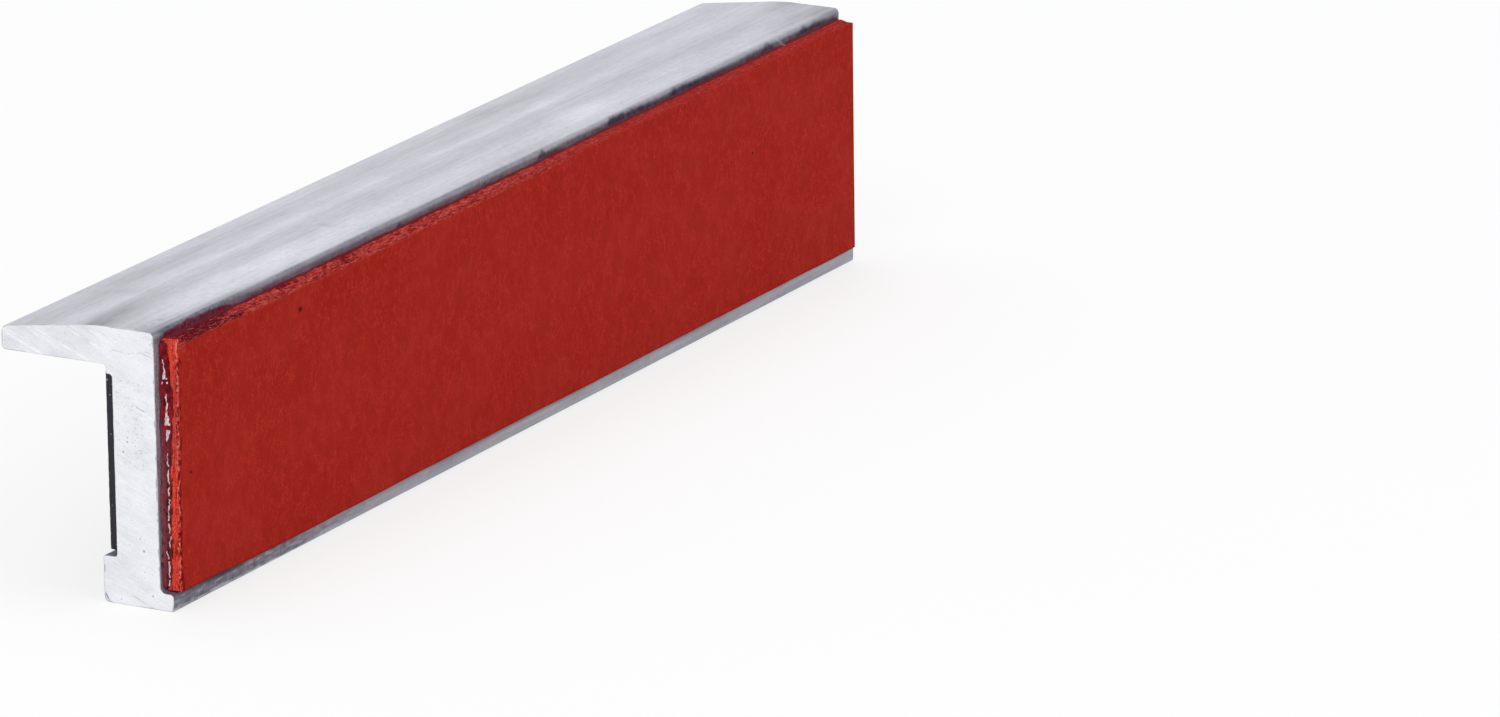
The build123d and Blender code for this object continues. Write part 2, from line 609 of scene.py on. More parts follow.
def lattice(i, j, seed):
    """A fixed height between -1 and 1 for every whole-numbered place (i, j). Each seed
    gives other heights."""
    mixed = (i * STIR_I + j * STIR_J + seed * STIR_SEED) & LOW_32_BITS
    mixed = ((mixed ^ (mixed >> 13)) * STIR_AGAIN) & LOW_32_BITS
    return (mixed ^ (mixed >> 16)) / 2**31 - 1


def cloud(u, v, seed):
    """Rolling heights between -1 and 1: those of the four lattice places round (u, v),
    blended by smooth steps."""
    i, j = np.floor(u).astype(np.int64), np.floor(v).astype(np.int64)
    a, b = ease(u - i), ease(v - j)
    near = lattice(i, j, seed) * (1 - a) + lattice(i + 1, j, seed) * a
    far = lattice(i, j + 1, seed) * (1 - a) + lattice(i + 1, j + 1, seed) * a
    return near * (1 - b) + far * b


def clouds(u, v, seed, layers=3):
    """Rolling heights in layers, each twice as fine and half as high as the one before."""
    return sum(cloud(u * 2**k, v * 2**k, seed + 17 * k) / 2**k for k in range(layers))


def ripple(u, seed, layers=3):
    """Clouds that change along one line only."""
    return clouds(u, 0.0, seed, layers)


def follow(line, at):
    """A measured line of pairs: its second number where its first is at."""
    return np.interp(at, *np.array(line).T)


def grid_quads(places, turn=False):
    """Quads between neighbours of a 2-D array of point numbers, turned over if asked."""
    corners = [places[:-1, :-1], places[1:, :-1], places[1:, 1:], places[:-1, 1:]]
    if turn:
        corners.reverse()
    return np.stack([corner.ravel() for corner in corners], axis=1)


def ring_numbers(*shape):
    """Numbers of points that stand in rings, and the same with each ring's first point
    again at its end."""
    numbers = np.arange(np.prod(shape)).reshape(shape)
    return numbers, np.concatenate([numbers, numbers[..., :1]], axis=-1)


def new_piece(name, points, faces, attributes, materials, slot, nodes=(), face_materials=None):
    """Writes points (mm) and faces (arrays of triangles or quads) to a mesh at the origin,
    with a number for each point in each named attribute, and seats it on the frame."""
    mesh = bpy.data.meshes.new(name)
    mesh.vertices.add(len(points))
    mesh.vertices.foreach_set("co", (points * MM).astype(np.float32).ravel())
    corners = np.concatenate([face.ravel() for face in faces])
    sides = np.concatenate([np.full(len(face), face.shape[1]) for face in faces])
    mesh.loops.add(len(corners))
    mesh.loops.foreach_set("vertex_index", corners.astype(np.int32))
    mesh.polygons.add(len(sides))
    mesh.polygons.foreach_set("loop_start", (np.cumsum(sides) - sides).astype(np.int32))
    if face_materials is not None:
        mesh.polygons.foreach_set("material_index", face_materials.astype(np.int32))
    mesh.update(calc_edges=True)
    for key, values in attributes.items():
        layer = mesh.attributes.new(key, "FLOAT", "POINT")
        layer.data.foreach_set("value", values.astype(np.float32))
    mesh.shade_smooth()
    piece = bpy.data.objects.new(name, mesh)
    bpy.context.scene.collection.objects.link(piece)
    for material in materials:
        mesh.materials.append(material)
    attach(piece, "root")
    if nodes:
        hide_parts(*nodes)
    return piece


def section_outline():
    """The section's closed outline, clockwise: an arc of each corner's radius, tangent to
    the runs on both sides, and points spread evenly along each run. Returns the points
    and the outward normal at each."""
    table = np.array(SECTION)
    corner, radius, spacing = table[:, :2], table[:, 2], table[:, 3]
    run = np.roll(corner, -1, axis=0) - corner
    ahead = run / np.linalg.norm(run, axis=1)[:, None]
    behind = np.roll(ahead, 1, axis=0)
    bend = behind[:, 0] * ahead[:, 1] - behind[:, 1] * ahead[:, 0]
    turn = np.arctan2(bend, np.sum(behind * ahead, axis=1))
    setback = radius * np.abs(np.tan(turn / 2))
    starts = corner - behind * setback[:, None]
    ends = corner + ahead * setback[:, None]
    pieces = []
    for k in range(len(corner)):
        steps = max(int(np.ceil(abs(turn[k]) / ARC_STEP)), 1)
        if radius[k] == KNEE_RADIUS:
            steps = KNEE_STEPS
        side = np.sign(turn[k]) if radius[k] else 1.0
        inward = np.array([-behind[k, 1], behind[k, 0]]) * side
        centre = starts[k] + inward * radius[k]
        swing = np.linspace(0, turn[k], steps + 1) if radius[k] else np.zeros(1)
        spoke = starts[k] - centre
        square = [-spoke[1], spoke[0]]
        pieces.append(centre + np.outer(np.cos(swing), spoke) + np.outer(np.sin(swing), square))
        goal = starts[(k + 1) % len(corner)]
        length = np.linalg.norm(goal - ends[k])
        count = max(int(np.ceil(length / spacing[k])), 1)
        fraction = np.arange(1, count) / count
        pieces.append(ends[k] + np.outer(fraction, goal - ends[k]))
    outline = np.concatenate(pieces)
    along = np.roll(outline, -1, axis=0) - np.roll(outline, 1, axis=0)
    along /= np.linalg.norm(along, axis=1)[:, None]
    return outline, np.stack([-along[:, 1], along[:, 0]], axis=1)


def within(value, limits):
    """Whether each value lies between the two limits."""
    return (value > limits[0]) & (value < limits[1])


def line_distance(y, z, y0, z0, y1, z1):
    """Distance of each point (y, z) from the line between two points."""
    dy, dz = y1 - y0, z1 - z0
    share = np.clip(((y - y0) * dy + (z - z0) * dz) / (dy * dy + dz * dz), 0, 1)
    return np.hypot(y - y0 - share * dy, z - z0 - share * dz)


def sawn_face(y, z, scores, pits, seed):
    """Depth below the true end and tone of a sawn face. The saw's arcs climb to the back
    at about 23 degrees, so their height is a fine cloud across that slope and a coarse one
    along it. Each score is a rounded groove about its line, wavering and broken by clouds
    along it. Each pit is a rounded dish with a paler ring, and the scattered pits are far
    smaller dark dots at seeded places."""
    across = SAW_RUN * z - SAW_RISE * y + SAW_BOW * (y - SAW_MIDDLE) ** 2
    along = SAW_RISE * z + SAW_RUN * y
    arcs = clouds(across / 0.30, along / 2.6, seed)
    depth = 0.012 + 0.0015 * arcs + 0.006 * clouds(y / 4, z / 4, seed + 5)
    tone = 0.035 * arcs + 0.05 * clouds(y / 1.9, z / 1.9, seed + 6) - 0.10 * ease((y - 4.5) / 3)
    for y0, z0, y1, z1, width, deep, shade in scores:
        waver = 0.03 * cloud(along / 0.7, y0, seed + 9)
        broken = np.clip(0.75 + 0.7 * cloud(along / 0.45, z0, seed + 10), 0, 1)
        reach = bell((line_distance(y, z, y0, z0, y1, z1) + waver) / width) * broken
        depth += deep * reach
        tone += shade * reach
    for y0, z0, size, shade in pits:
        gap = np.hypot(y - y0, z - z0)
        reach = bell(gap / size)
        ring = bell((gap - 2.2 * size) / size)
        depth += 0.25 * size * reach
        tone += shade * reach - 0.25 * shade * ring
    count, y_low, y_high, z_low, z_high = PIT_FIELD
    rng = np.random.default_rng(seed + 20)
    y0, z0 = rng.uniform(y_low, y_high, count), rng.uniform(z_low, z_high, count)
    size = rng.uniform(0.035, 0.07, count)
    gap = np.hypot(y[..., None] - y0, (z[..., None] - z0) * rng.uniform(0.8, 2.0, count))
    tone -= 0.45 * np.sum(bell(gap / size), axis=-1)
    return depth, tone


def inside_outline(y, z, outline):
    """Whether each point lies in the outline, by counting the runs to its right, and its
    distance from the nearest outline point."""
    a, b = outline, np.roll(outline, -1, axis=0)
    rising = (a[:, 1] > z[:, None]) != (b[:, 1] > z[:, None])
    with np.errstate(divide="ignore", invalid="ignore"):
        crossing = a[:, 0] + (z[:, None] - a[:, 1]) * (b[:, 0] - a[:, 0]) / (b[:, 1] - a[:, 1])
    odd = np.sum(rising & (y[:, None] < crossing), axis=1) % 2 == 1
    gap = np.min(np.hypot(y[:, None] - a[:, 0], z[:, None] - a[:, 1]), axis=1)
    return odd, gap


def sawn_end(rim, spacing, seed):
    """Fills the outline with a jittered square grid of points and joins them in triangles.
    Returns the points inside the rim and the triangles, rim points first."""
    low, high = rim.min(axis=0), rim.max(axis=0)
    columns, rows = (np.arange(low[k], high[k], spacing) for k in (0, 1))
    y, z = np.meshgrid(columns, rows, indexing="ij")
    i, j = np.indices(y.shape)
    jitter = END_JITTER * spacing
    y = (y + jitter * lattice(i, j, seed)).ravel()
    z = (z + jitter * lattice(i, j, seed + 1)).ravel()
    parts = np.array_split(np.arange(len(y)), END_PARTS)
    found = [inside_outline(y[part], z[part], rim) for part in parts]
    odd, gap = (np.concatenate(each) for each in zip(*found))
    keep = odd & (gap > END_MARGIN * spacing)
    inner = np.stack([y[keep], z[keep]], axis=1)
    places = np.concatenate([rim, inner])
    solved = delaunay_2d_cdt(places.tolist(), [], [list(range(len(rim)))], 1, 1e-7)
    source = np.array([names[0] for names in solved[3]])
    return inner, source[np.array(solved[2])]


def top_shade(x, y):
    """Tone of the top: the sum of the measured patches, each falling off as a bell along
    and across the bar, and the dots, with clouds drawn out lengthwise between them."""
    shade = 0.10 * clouds(x / 30, y / 0.7, 21) + 0.20 * clouds(x / 5, y / 1.5, 22)
    shade = shade + 0.16 * clouds(x / 0.9, y / 0.35, 25, 2)
    for x0, y0, half_x, half_y, tone in TOP_TONES:
        away = ((x - x0) / half_x) ** 2 + ((y - y0) / half_y) ** 2
        shade = shade + tone * np.exp(-away) * (1 + 0.25 * clouds(x / 2.2, y / 0.5, 23, 2))
    for x0, y0, size, tone in TOP_DOTS:
        shade = shade + tone * np.exp(-(((x - x0) ** 2 + (y - y0) ** 2) / size**2))
    return shade


def far_half(x):
    """0 in the near half of the bar and 1 in the far half, changing just past its middle."""
    return ease((x - 2) / 8)


def painted_edge_reflection(x, y, z):
    """How strong the painted dark reflection on the bar's front top edge is: nought on the top,
    growing down the edge's arc and the wall below it, more slowly at first in the far half,
    and patchy along the bar. At the near end it reaches over on to the top, and it is
    thinner in the last millimetre. It stands in for the dark surroundings that the rounded
    edge mirrors."""
    far = far_half(x)
    haze = (0.76 - 0.34 * far) * ease((25.285 - z) / 0.12)
    haze = haze + (0.22 + 0.34 * far) * ease((24.95 + 0.25 * far - z) / 0.48)
    haze = haze + 0.32 * ease((-45 - x) / 4) * ease((0.95 - y) / 0.5)
    haze = haze * (0.94 + 0.13 * clouds(x / 5, z / 0.35, 12) + 0.08 * ease((x - 8) / 8))
    haze = haze * (0.62 + 0.38 * ease((x + 61.8) / 1.2))
    return np.clip(np.where((y < 1.0) & (z > 23.0), haze, 0), 0, 1)


def bar_marks(x, y, z, s, from_end, upper):
    """What the bar's sides tell their material at each point. A painted dark reflection lies on
    the front top edge, on the wall in upright streaks, on the lip in streaks along the bar
    with blotches at the near end, and on the ledge close to both ends. Glue lies thin on the
    wall's low part at the near end, and a painted shadow line lies on the lip under the
    fibre, laid on as glue. The lip gets painted shade with a red reflection of the fibre,
    growing up to the fibre. The top has its own tones, partly painted shading. The other
    sides are rubbed in long streaks, with dark specks on the flange's tip and dark scuffs on
    the foot. s is the way round the section, and upper says which points lie on the top."""
    run = x - BAR_LOW[0]
    on_wall = (y < WALL_FRONT) & within(z, (WALL_FOOT, WALL_REFLECTION_TOP))
    on_lip = (y < LIP_BACK) & (z < WALL_FOOT)
    on_ledge = within(y, LEDGE_Y) & within(z, LEDGE_Z)
    on_foot = (y > FOOT_Y) & (z < FOOT_TOP)
    bare = from_end > 0.04

    # Painted dark reflection: its strength on the wall, the lip and the ledge, standing in for the
    # dark surroundings they mirror
    streaky = 0.60 + 0.30 * clouds(x / 0.35, z / 1.9, 13) + 0.30 * ease((run - 0.6) / 0.4)
    streaky = streaky + 0.14 * ease((z - 14) / 4)
    blotchy = 0.50 + 0.50 * clouds(x / 0.7, z / 0.24, 16)
    near_end_share = ease(1.3 - run / 30)
    drawn = 0.42 + (0.12 + 0.26 * near_end_share) * clouds(x / 9, z / 0.13, 14) + (0.24 + blotchy) * near_end_share
    x0, z0, half_x, half_z = LIP_STREAK
    streak = bell((z - z0) / half_z) * bell((x - x0) / half_x)
    drawn = drawn - 0.5 * streak - 0.8 * near_end_share * ease((0.45 - z) / 0.25)
    ledge = ease(1.2 - from_end / 3)
    painted_reflections = [painted_edge_reflection(x, y, z), on_wall * streaky, on_lip * drawn, on_ledge * ledge]

    # Painted shade with a red reflection of the fibre on the lip's upper part, growing towards the
    # fibre and weak near the near end
    deep = 0.58 + 0.45 * ease((x - 35) / 25)
    wander = 0.05 * ripple(x / 5, 17, 2)
    painted_lip_shade = ease((z - 0.80 - wander) / deep) * (0.15 + 0.85 * ease((run - 12) / 8))
    glued = ease((16 - z) / 5) * (0.16 + 0.15 * clouds(x / 0.4, z / 0.9, 18)) + 0.05
    glued = on_wall * glued * (run < 2) * ease((from_end - 0.1) / 0.2)
    # A painted shadow line on the lip under the fibre, laid on through the glue mask
    wander = 0.05 * ripple(x / 0.9, 19)
    x0, z0, half_x = LIP_SHADOW_LINE
    painted_shadow_line = on_lip * bell((x - x0) / half_x) * ease((z - z0 - wander) / 0.10)

    rubbed = 0.30 * clouds(x / 25, s / 0.5, 24) + 0.25 * clouds(x / 4, s / 2.5, 26)
    speckled = 0.45 - 1.8 * ease((cloud(x / 1.6, s / 0.6, 27) - 0.7) * 6)
    rubbed = rubbed + (y > TIP_Y) * speckled
    scuffed = ease((cloud(x / 1.4, s / 5, 28) - 0.72) * 6)
    rubbed = rubbed - on_foot * 0.7 * scuffed * ease(1.5 - from_end / 14)
    return {
        "haze": np.clip(np.maximum.reduce(painted_reflections), 0, 1) * bare,
        "shade": np.where(upper, top_shade(x, y), rubbed),
        "tone": np.zeros(x.shape),
        "glue": np.clip(glued + 0.9 * painted_shadow_line, 0, 1),
        "wine": on_wall * 1.0,
        "front_wall": on_wall * 1.0,
        "low": on_lip * 0.42 * painted_lip_shade * bare,
    }


def bar_surface(settings):
    """The extrusion: its section carried from end to end. The outline moves in by the edge
    break over the last stations at both ends, further where the saw nicked a corner. Each
    side point then moves inward along its normal by the die lines, which are a fine cloud
    round the section and a very long one along it, by a slow roll, and by small dents on
    the flange's tip. Both ends sink by the sawn face and are filled with triangles."""
    outline, normal = section_outline()
    around = np.concatenate([[0], np.cumsum(np.hypot(*np.diff(outline, axis=0).T))])
    rim = np.array(RIM_INSETS)
    length = BAR_HIGH[0] - BAR_LOW[0]
    share = np.linspace(0, 1, settings.stations) ** BODY_CROWDING
    inset = np.concatenate([rim, BODY_START + (length - BODY_SHORT) * share, length - rim[::-1]])
    x = BAR_LOW[0] + inset[:, None] + 0 * around
    from_end = np.minimum(inset, length - inset)[:, None]

    edge_break = settings.edge_break / MM
    y0, z0 = outline.T
    ragged = 1 + 0.5 * ripple(around / 0.9, 31, 2)
    walled = (y0 < WALL_FRONT) & within(z0, (WALL_FOOT, WALL_TOP))
    ragged = ragged + walled * 2.0 * ease(ripple(around / 0.5, 32, 2) * 2 - 0.5)
    for nick_y, nick_z, size in CORNER_NICKS:
        ragged = ragged + 2.2 * bell(np.hypot(y0 - nick_y, z0 - nick_z) / size)
    curve = np.clip(1 - from_end / edge_break / 1.4, 0, 1)
    pull = edge_break * ragged * (1 - np.sqrt(1 - curve**2))

    s = around + 0 * x
    dies = clouds(s / 0.9, x / 260, 3, 2) + 0.6 * cloud(s / 0.37, x / 400, 4)
    swell = settings.die_line_depth / MM * dies + 0.012 * clouds(x / 22, s / 7, 6, 2)
    swell -= 0.03 * ease((cloud(x / 1.3, s / 0.5, 8) - 0.78) * 6) * within(s, TIP_ROUND)
    move = np.minimum(swell, 0) * ease(from_end / 0.6) - pull
    y = y0 + normal[:, 0] * move
    z = z0 + normal[:, 1] * move

    near, _ = sawn_face(y[:1], z[:1], *NEAR_SAW)
    far, _ = sawn_face(y[:1], z[:1], *FAR_SAW)
    sink = ease(1 - inset[:, None] / 0.9) * near - ease(1 - (length - inset[:, None]) / 0.9) * far
    x = x + sink
    fields = bar_marks(x, y, z, s, from_end, (normal[:, 1] > 0.5) & (z0 > TOP_Z))

    rows, closed = ring_numbers(*x.shape)
    sides = grid_quads(closed)
    points = [np.stack([x, y, z], axis=2).reshape(-1, 3)]
    marks = {name: [field.ravel()] for name, field in fields.items()}
    triangles = []
    count = x.size
    for row, spacing, saw in ((0, NEAR_SPACING, NEAR_SAW), (-1, FAR_SPACING, FAR_SAW)):
        edge = np.stack([y[row], z[row]], axis=1)
        inner, joined = sawn_end(edge, spacing, saw[-1])
        both = np.concatenate([edge, inner])
        depth, tone = sawn_face(both[:, 0], both[:, 1], *saw)
        depth = depth[len(edge) :]
        end = BAR_LOW[0] + depth if row == 0 else BAR_HIGH[0] - depth
        points.append(np.stack([end, inner[:, 0], inner[:, 1]], axis=1))
        numbers = np.concatenate([rows[row], count + np.arange(len(inner))])
        count += len(inner)
        faces = numbers[joined]
        triangles.append(faces[:, ::-1] if row == 0 else faces)
        for name, parts in marks.items():
            parts.append(tone[len(edge) :] if name == "tone" else np.zeros(len(inner)))
        marks["tone"][0][rows[row]] = tone[: len(edge)]
    sawn = np.concatenate([np.zeros(len(sides)), np.ones(sum(map(len, triangles)))])
    marks = {name: np.concatenate(parts) for name, parts in marks.items()}
    return np.concatenate(points), [sides, *triangles], marks, sawn


def spread(low, high, middle, crowd=EDGE_CROWD):
    """Places from low to high: close together near both ends, then evenly spaced."""
    crowd = np.array(crowd)
    inner_low, inner_high = low + crowd[-1], high - crowd[-1]
    count = max(int(round((inner_high - inner_low) / middle)), 1)
    inner = np.linspace(inner_low, inner_high, count + 1)
    return np.concatenate([low + crowd[:-1], inner, (high - crowd[:-1])[::-1]])


def slab_skin(xs, ys, zs, radius):
    """The skin of a box whose points stand at the given places along each axis, with each
    edge rounded: a point is drawn towards the nearest point of the box shrunk by the
    radius, until it is one radius from it. Faces share the points on their common edges.
    Returns the points, the same points before rounding, and the quads."""
    counts = (len(xs), len(ys), len(zs))
    keys, quads = [], []
    total = 0
    for axis in range(3):
        first, second = (axis + 1) % 3, (axis + 2) % 3
        for side in (0, counts[axis] - 1):
            a, b = np.meshgrid(np.arange(counts[first]), np.arange(counts[second]), indexing="ij")
            index = np.zeros((3, *a.shape), dtype=np.int64)
            index[axis], index[first], index[second] = side, a, b
            keys.append(np.ravel_multi_index(tuple(index), counts).ravel())
            quads.append(grid_quads(total + np.arange(a.size).reshape(a.shape), turn=side == 0))
            total += a.size
    unique, inverse = np.unique(np.concatenate(keys), return_inverse=True)
    i, j, k = np.unravel_index(unique, counts)
    flat = np.stack([xs[i], ys[j], zs[k]], axis=1)
    low = np.array([xs[0], ys[0], zs[0]]) + radius
    high = np.array([xs[-1], ys[-1], zs[-1]]) - radius
    core = np.clip(flat, low, high)
    away = flat - core
    reach = np.linalg.norm(away, axis=1)[:, None]
    rounded = core + away / np.maximum(reach, 1e-9) * np.minimum(radius, reach)
    return rounded, flat, inverse[np.concatenate(quads)]


def near_cut(z):
    """X of the fibre's near end, which was cut a little out of square."""
    share = (z - FIBRE_LOW[2]) / (FIBRE_HIGH[2] - FIBRE_LOW[2])
    return FIBRE_LOW[0] - 0.28 + 0.46 * share + 0.03 * ripple(z / 2.2, 61)


def fibre_surface(settings, xs, ys, zs, lap):
    """The fibre facing, or the part of it whose points stand at the given places: a slab
    whose skin is pulled about. The top edge is torn: ridges, made where a cloud drawn out
    along the edge passes nought, stand up as plies and crumbs with gaps between them, and
    all fade to the far end. On the near end the cut face is combed by fine upright clouds
    and its front edge has a crumbling burr. There the top corner curls up, and the back
    swells against the wall for the last of its height. The front face is pressed, with a
    shallow roll all over, and a burr hangs from its bottom edge. lap is how far the skin
    stands out past the plate's own at each distance from the near end. The marks say how
    far a point is on an edge, which is worn smooth at the front of the far half, whether
    it is on the near end, how high it stands, which the material paints as shade low down
    and highlight high up, how it is scored, with painted shade in the score and along the
    face's bottom edge, and how far glue has soaked in. On the cut face the back corner
    against the wall gets painted shade, and the cut face is dark where the bead's crest
    shades it."""
    fray = settings.fray_height / MM
    low, high = FIBRE_LOW, FIBRE_HIGH
    points, flat, quads = slab_skin(xs, ys, zs, FIBRE_EDGE)
    x, y, z = flat.T
    depth = (high[1] - y) / (high[1] - low[1])
    run = x - low[0]
    out = lap(run)
    top = ease((z - high[2] + 0.35) / 0.3)
    near = ease((low[0] + 0.16 - x) / 0.15)
    front = ease((low[1] + 0.06 - y) / 0.05)
    bottom = ease((low[2] + 0.3 - z) / 0.25)

    torn = 0.12 + 0.88 * ease(1.15 - run / 80)
    plies = 1 - 2.4 * np.abs(clouds(x / 1.9, depth * 3.3, 62))
    crumbs = 0.9 * clouds(x / 0.75, depth * 4.0, 63) + 0.3 * clouds(x / 0.3, depth * 6.0, 64, 2)
    crumbs = crumbs * ease((0.97 - depth) / 0.12)
    front_ply = bell((depth - 0.97) / 0.08) * (0.7 + 0.2 * ripple(x / 2.5, 65))
    gap = bell((depth - 0.80 - 0.04 * ripple(x / 1.7, 66, 1)) / 0.07)
    gap = gap * np.clip(0.60 + 0.6 * ripple(x / 1.6, 67), 0, 1.3)
    rear = bell((depth - 0.02) / 0.10)
    lift = 0.55 * plies + 0.75 * crumbs + 0.8 * front_ply - 1.1 * gap - 0.2 * rear
    curl = 0.18 * ease(1 - depth / 0.7) * ease(run / 1.5)
    near_curl = 0.34 + 0.20 * ease(depth / 0.45) - 0.10 * ease((depth - 0.7) / 0.3)
    curl = curl + near_curl * ease(1 - run / 1.5)
    calm = (0.3 + 0.7 * ease(run / 1.6)) * (0.35 + 0.65 * ease((depth - 0.02) / 0.22))
    rise = (fray * torn * calm * lift + out) * top + curl * ease((z - high[2] + 0.7) / 0.6)

    comb = clouds(z / 1.8, depth * 11, 68) + 0.6 * clouds(z / 0.35, depth * 7, 69, 2)
    burr_line = 0.92 + 0.03 * ripple(z / 1.3, 70, 2)
    burr = bell((depth - burr_line) / 0.11)
    crumb = clouds(z / 0.22, depth * 8.5, 171, 2)
    wander = 0.2 * clouds(x / 0.5, z / 0.5, 79)
    crushed = ease((z - CRUSH_Z - wander) / 0.3) * ease((1.5 - run) / 0.6) * front
    swollen = 0.27 * ease((z - SWELL_Z) / 0.5) * ease(1 - run / 2.5) * ease((0.5 - depth) / 0.5)
    rounded = 0.12 * np.clip(1 - run / 0.4, 0, 1) ** 2 * np.clip(1 - depth / 0.3, 0, 1) * top

    press = 0.012 * clouds(x / 9, z / 6, 72)
    lip = bell(run / 0.12) * clouds(z / 0.33, x / 0.3, 73)
    score = bell((run - 0.24 - 0.16 * ripple(z / 2, 74, 1)) / 0.13)
    score = score * np.clip(0.40 + 0.65 * ease((11 - z) / 3) + ripple(z / 0.5, 75), 0, 1)
    proud = front * (press + 0.04 * lip - 0.03 * score + out - 0.03)

    shift = (near_cut(z) - low[0]) * ease(1 - run / 6)
    points[:, 0] += shift - near * (0.03 * comb + burr * (0.05 * crumb + 0.01))
    points[:, 1] += swollen - proud
    uneven = 1 + 0.15 * ripple(x / 7, 78)
    hang = 0.23 * ease((depth - 0.74) / 0.12) * ease((run - 4) / 9) * uneven
    rough = 0.03 * ease((0.8 - depth) / 0.2) * clouds(x / 0.6, depth * 3, 76)
    points[:, 2] += rise - rounded + bottom * (rough - out - hang)
    points[:, 1] = np.maximum(points[:, 1], low[1])

    wander = 0.14 * ripple(x / 1.4, 79)
    worn = 1 - 0.85 * ease((depth - 0.64 + wander) / 0.14) * far_half(x)
    # Painted shade in the cut face's back corner against the wall, above CORNER_Z
    corner = ease((0.36 - depth + 0.05 * comb) / 0.25) * ease(z - CORNER_Z)
    shade = bell((y - follow(BEAD_CREST, z) + 0.06) / 0.055)
    shade = shade * np.clip(0.55 + 1.2 * ripple(z / 0.9, 173, 2), 0, 1.2)
    cut = 0.45 * comb + burr * (2.5 * crumb - 0.30) - 0.9 * corner - 1.2 * shade
    crushed_lift = 0.35 + 1.4 * clouds(x / 0.3, z / 0.3, 60, 2)
    torn_lift = lift * (0.2 + 0.8 * torn) * (1 - crushed) + crushed * crushed_lift
    soaked = ease((SOAKED_X - x + 3.0 * clouds(x / 1.5, depth * 2, 77)) / 3.5)
    cut_soak = near * ease((z - SOAKED_Z[0]) / 3) * ease((SOAKED_Z[1] - z) / 2)
    marks = {
        "edge": np.clip(top * worn + near + crushed + bottom * ease((0.9 - depth) / 0.1), 0, 1),
        "near": near,
        "lift": np.where(near > top, cut, torn_lift),
        # score mark: pink crumbs along the front edge, painted shade in the score and along the
        # face's bottom edge
        "score": front * (lip * 1.1 - score - 0.5 * ease((low[2] + 0.16 - z) / 0.12)),
        "soak": np.where(near > top, cut_soak, soaked * top * (1 - crushed)),
    }
    return points, [quads], marks


def fibre_plate(settings):
    """The whole facing, with its points closer together towards the near end."""
    ends = np.array(EDGE_CROWD[:-1])
    xs = np.concatenate([ends, np.arange(*PLATE_CLOSE), np.arange(*PLATE_WIDE)])
    squeezed, whole = PLATE_SQUEEZE
    xs = FIBRE_LOW[0] + PLATE_START + xs * squeezed / whole
    xs = np.concatenate([xs, (FIBRE_HIGH[0] - ends)[::-1]])
    ys = np.linspace(FIBRE_LOW[1], FIBRE_HIGH[1], PLATE_ROWS)
    zs = spread(FIBRE_LOW[2], FIBRE_HIGH[2], PLATE_STEP, PLATE_CROWD)
    return fibre_surface(settings, xs, ys, zs, lambda run: 0 * run)


def fibre_cut(settings):
    """The last of the facing at the near end, with its points over four times as close up
    its height. Its skin stands a hair out past the plate's and dives under it at its far
    border."""
    xs = FIBRE_LOW[0] + np.array(CUT_CROWD)
    ys = np.linspace(FIBRE_LOW[1], FIBRE_HIGH[1], CUT_ROWS)
    zs = spread(FIBRE_LOW[2], FIBRE_HIGH[2], CUT_STEP, HEIGHT_CROWD)

    def lap(run):
        return CUT_PROUD - CUT_DIVE * ease((run - CUT_BORDER) / CUT_SLOPE)

    return fibre_surface(settings, xs, ys, zs, lap)


def strand_surface(roots, headings, lengths, radii):
    """Loose fibres: each a thin four-sided tube from its root along its heading, drawn
    sideways by a bend that grows with the square of the way along, and thinned to its
    tip. Both ends are closed."""
    count = len(roots)
    t = np.linspace(0, 1, STRAND_RINGS)[None, :, None]
    rng = np.random.default_rng(BEND_SEED)
    bend = rng.normal(0, 0.45, (count, 1, 3))
    headings = headings / np.linalg.norm(headings, axis=1)[:, None]
    line = roots[:, None] + lengths[:, None, None] * (headings[:, None] * t + bend * t**2)
    along = np.gradient(line, axis=1)
    along /= np.linalg.norm(along, axis=2)[..., None]
    side = np.cross(along, [0.31, 0.52, 0.79])
    side /= np.linalg.norm(side, axis=2)[..., None]
    other = np.cross(along, side)
    angle = 2 * np.pi * np.arange(STRAND_SIDES)[:, None] / STRAND_SIDES
    ring = side[:, :, None] * np.cos(angle) + other[:, :, None] * np.sin(angle)
    thin = radii[:, None, None] * (1 - 0.75 * t)
    points = line[:, :, None] + ring * thin[..., None]
    places, closed = ring_numbers(count, STRAND_RINGS, STRAND_SIDES)
    corners = [closed[:, :-1, :-1], closed[:, :-1, 1:], closed[:, 1:, 1:], closed[:, 1:, :-1]]
    sides = np.stack([corner.ravel() for corner in corners], axis=1)
    caps = np.concatenate([places[:, 0, ::-1], places[:, -1]])
    return points.reshape(-1, 3), [sides, caps]


def loose_fibres(settings):
    """The loose fibres: most stand along the top edge, thinning out to the far end, and
    the rest on the burr of the near end. They are short and lie close."""
    rng = np.random.default_rng(STRAND_SEED)
    count = settings.strands
    top = int(count * TOP_STRANDS)
    x = FIBRE_LOW[0] + 0.3 + 122 * rng.random(top) ** 1.5
    y = rng.uniform(FIBRE_LOW[1] + 0.06, FIBRE_HIGH[1] - 0.15, top)
    roots = np.stack([x, y, np.full(top, FIBRE_HIGH[2] + 0.02)], axis=1)
    headings = rng.normal(0, 1, (top, 3)) * (1.0, 0.3, 0.12) + (0, 0.1, 0.10)
    z = FIBRE_LOW[2] + 22 * rng.random(count - top)
    y = FIBRE_LOW[1] + 0.12 + np.abs(rng.normal(0, 0.06, len(z)))
    roots = np.concatenate([roots, np.stack([near_cut(z) - 0.02, y, z], axis=1)])
    more = rng.normal(0, 1, (len(z), 3)) * (0.12, 0.25, 1.0) + (-0.10, 0.1, 0)
    headings = np.concatenate([headings, more])
    lengths = rng.uniform(*STRAND_LENGTHS, count)
    radii = rng.uniform(*STRAND_RADII, count)
    return strand_surface(roots, headings, lengths, radii)


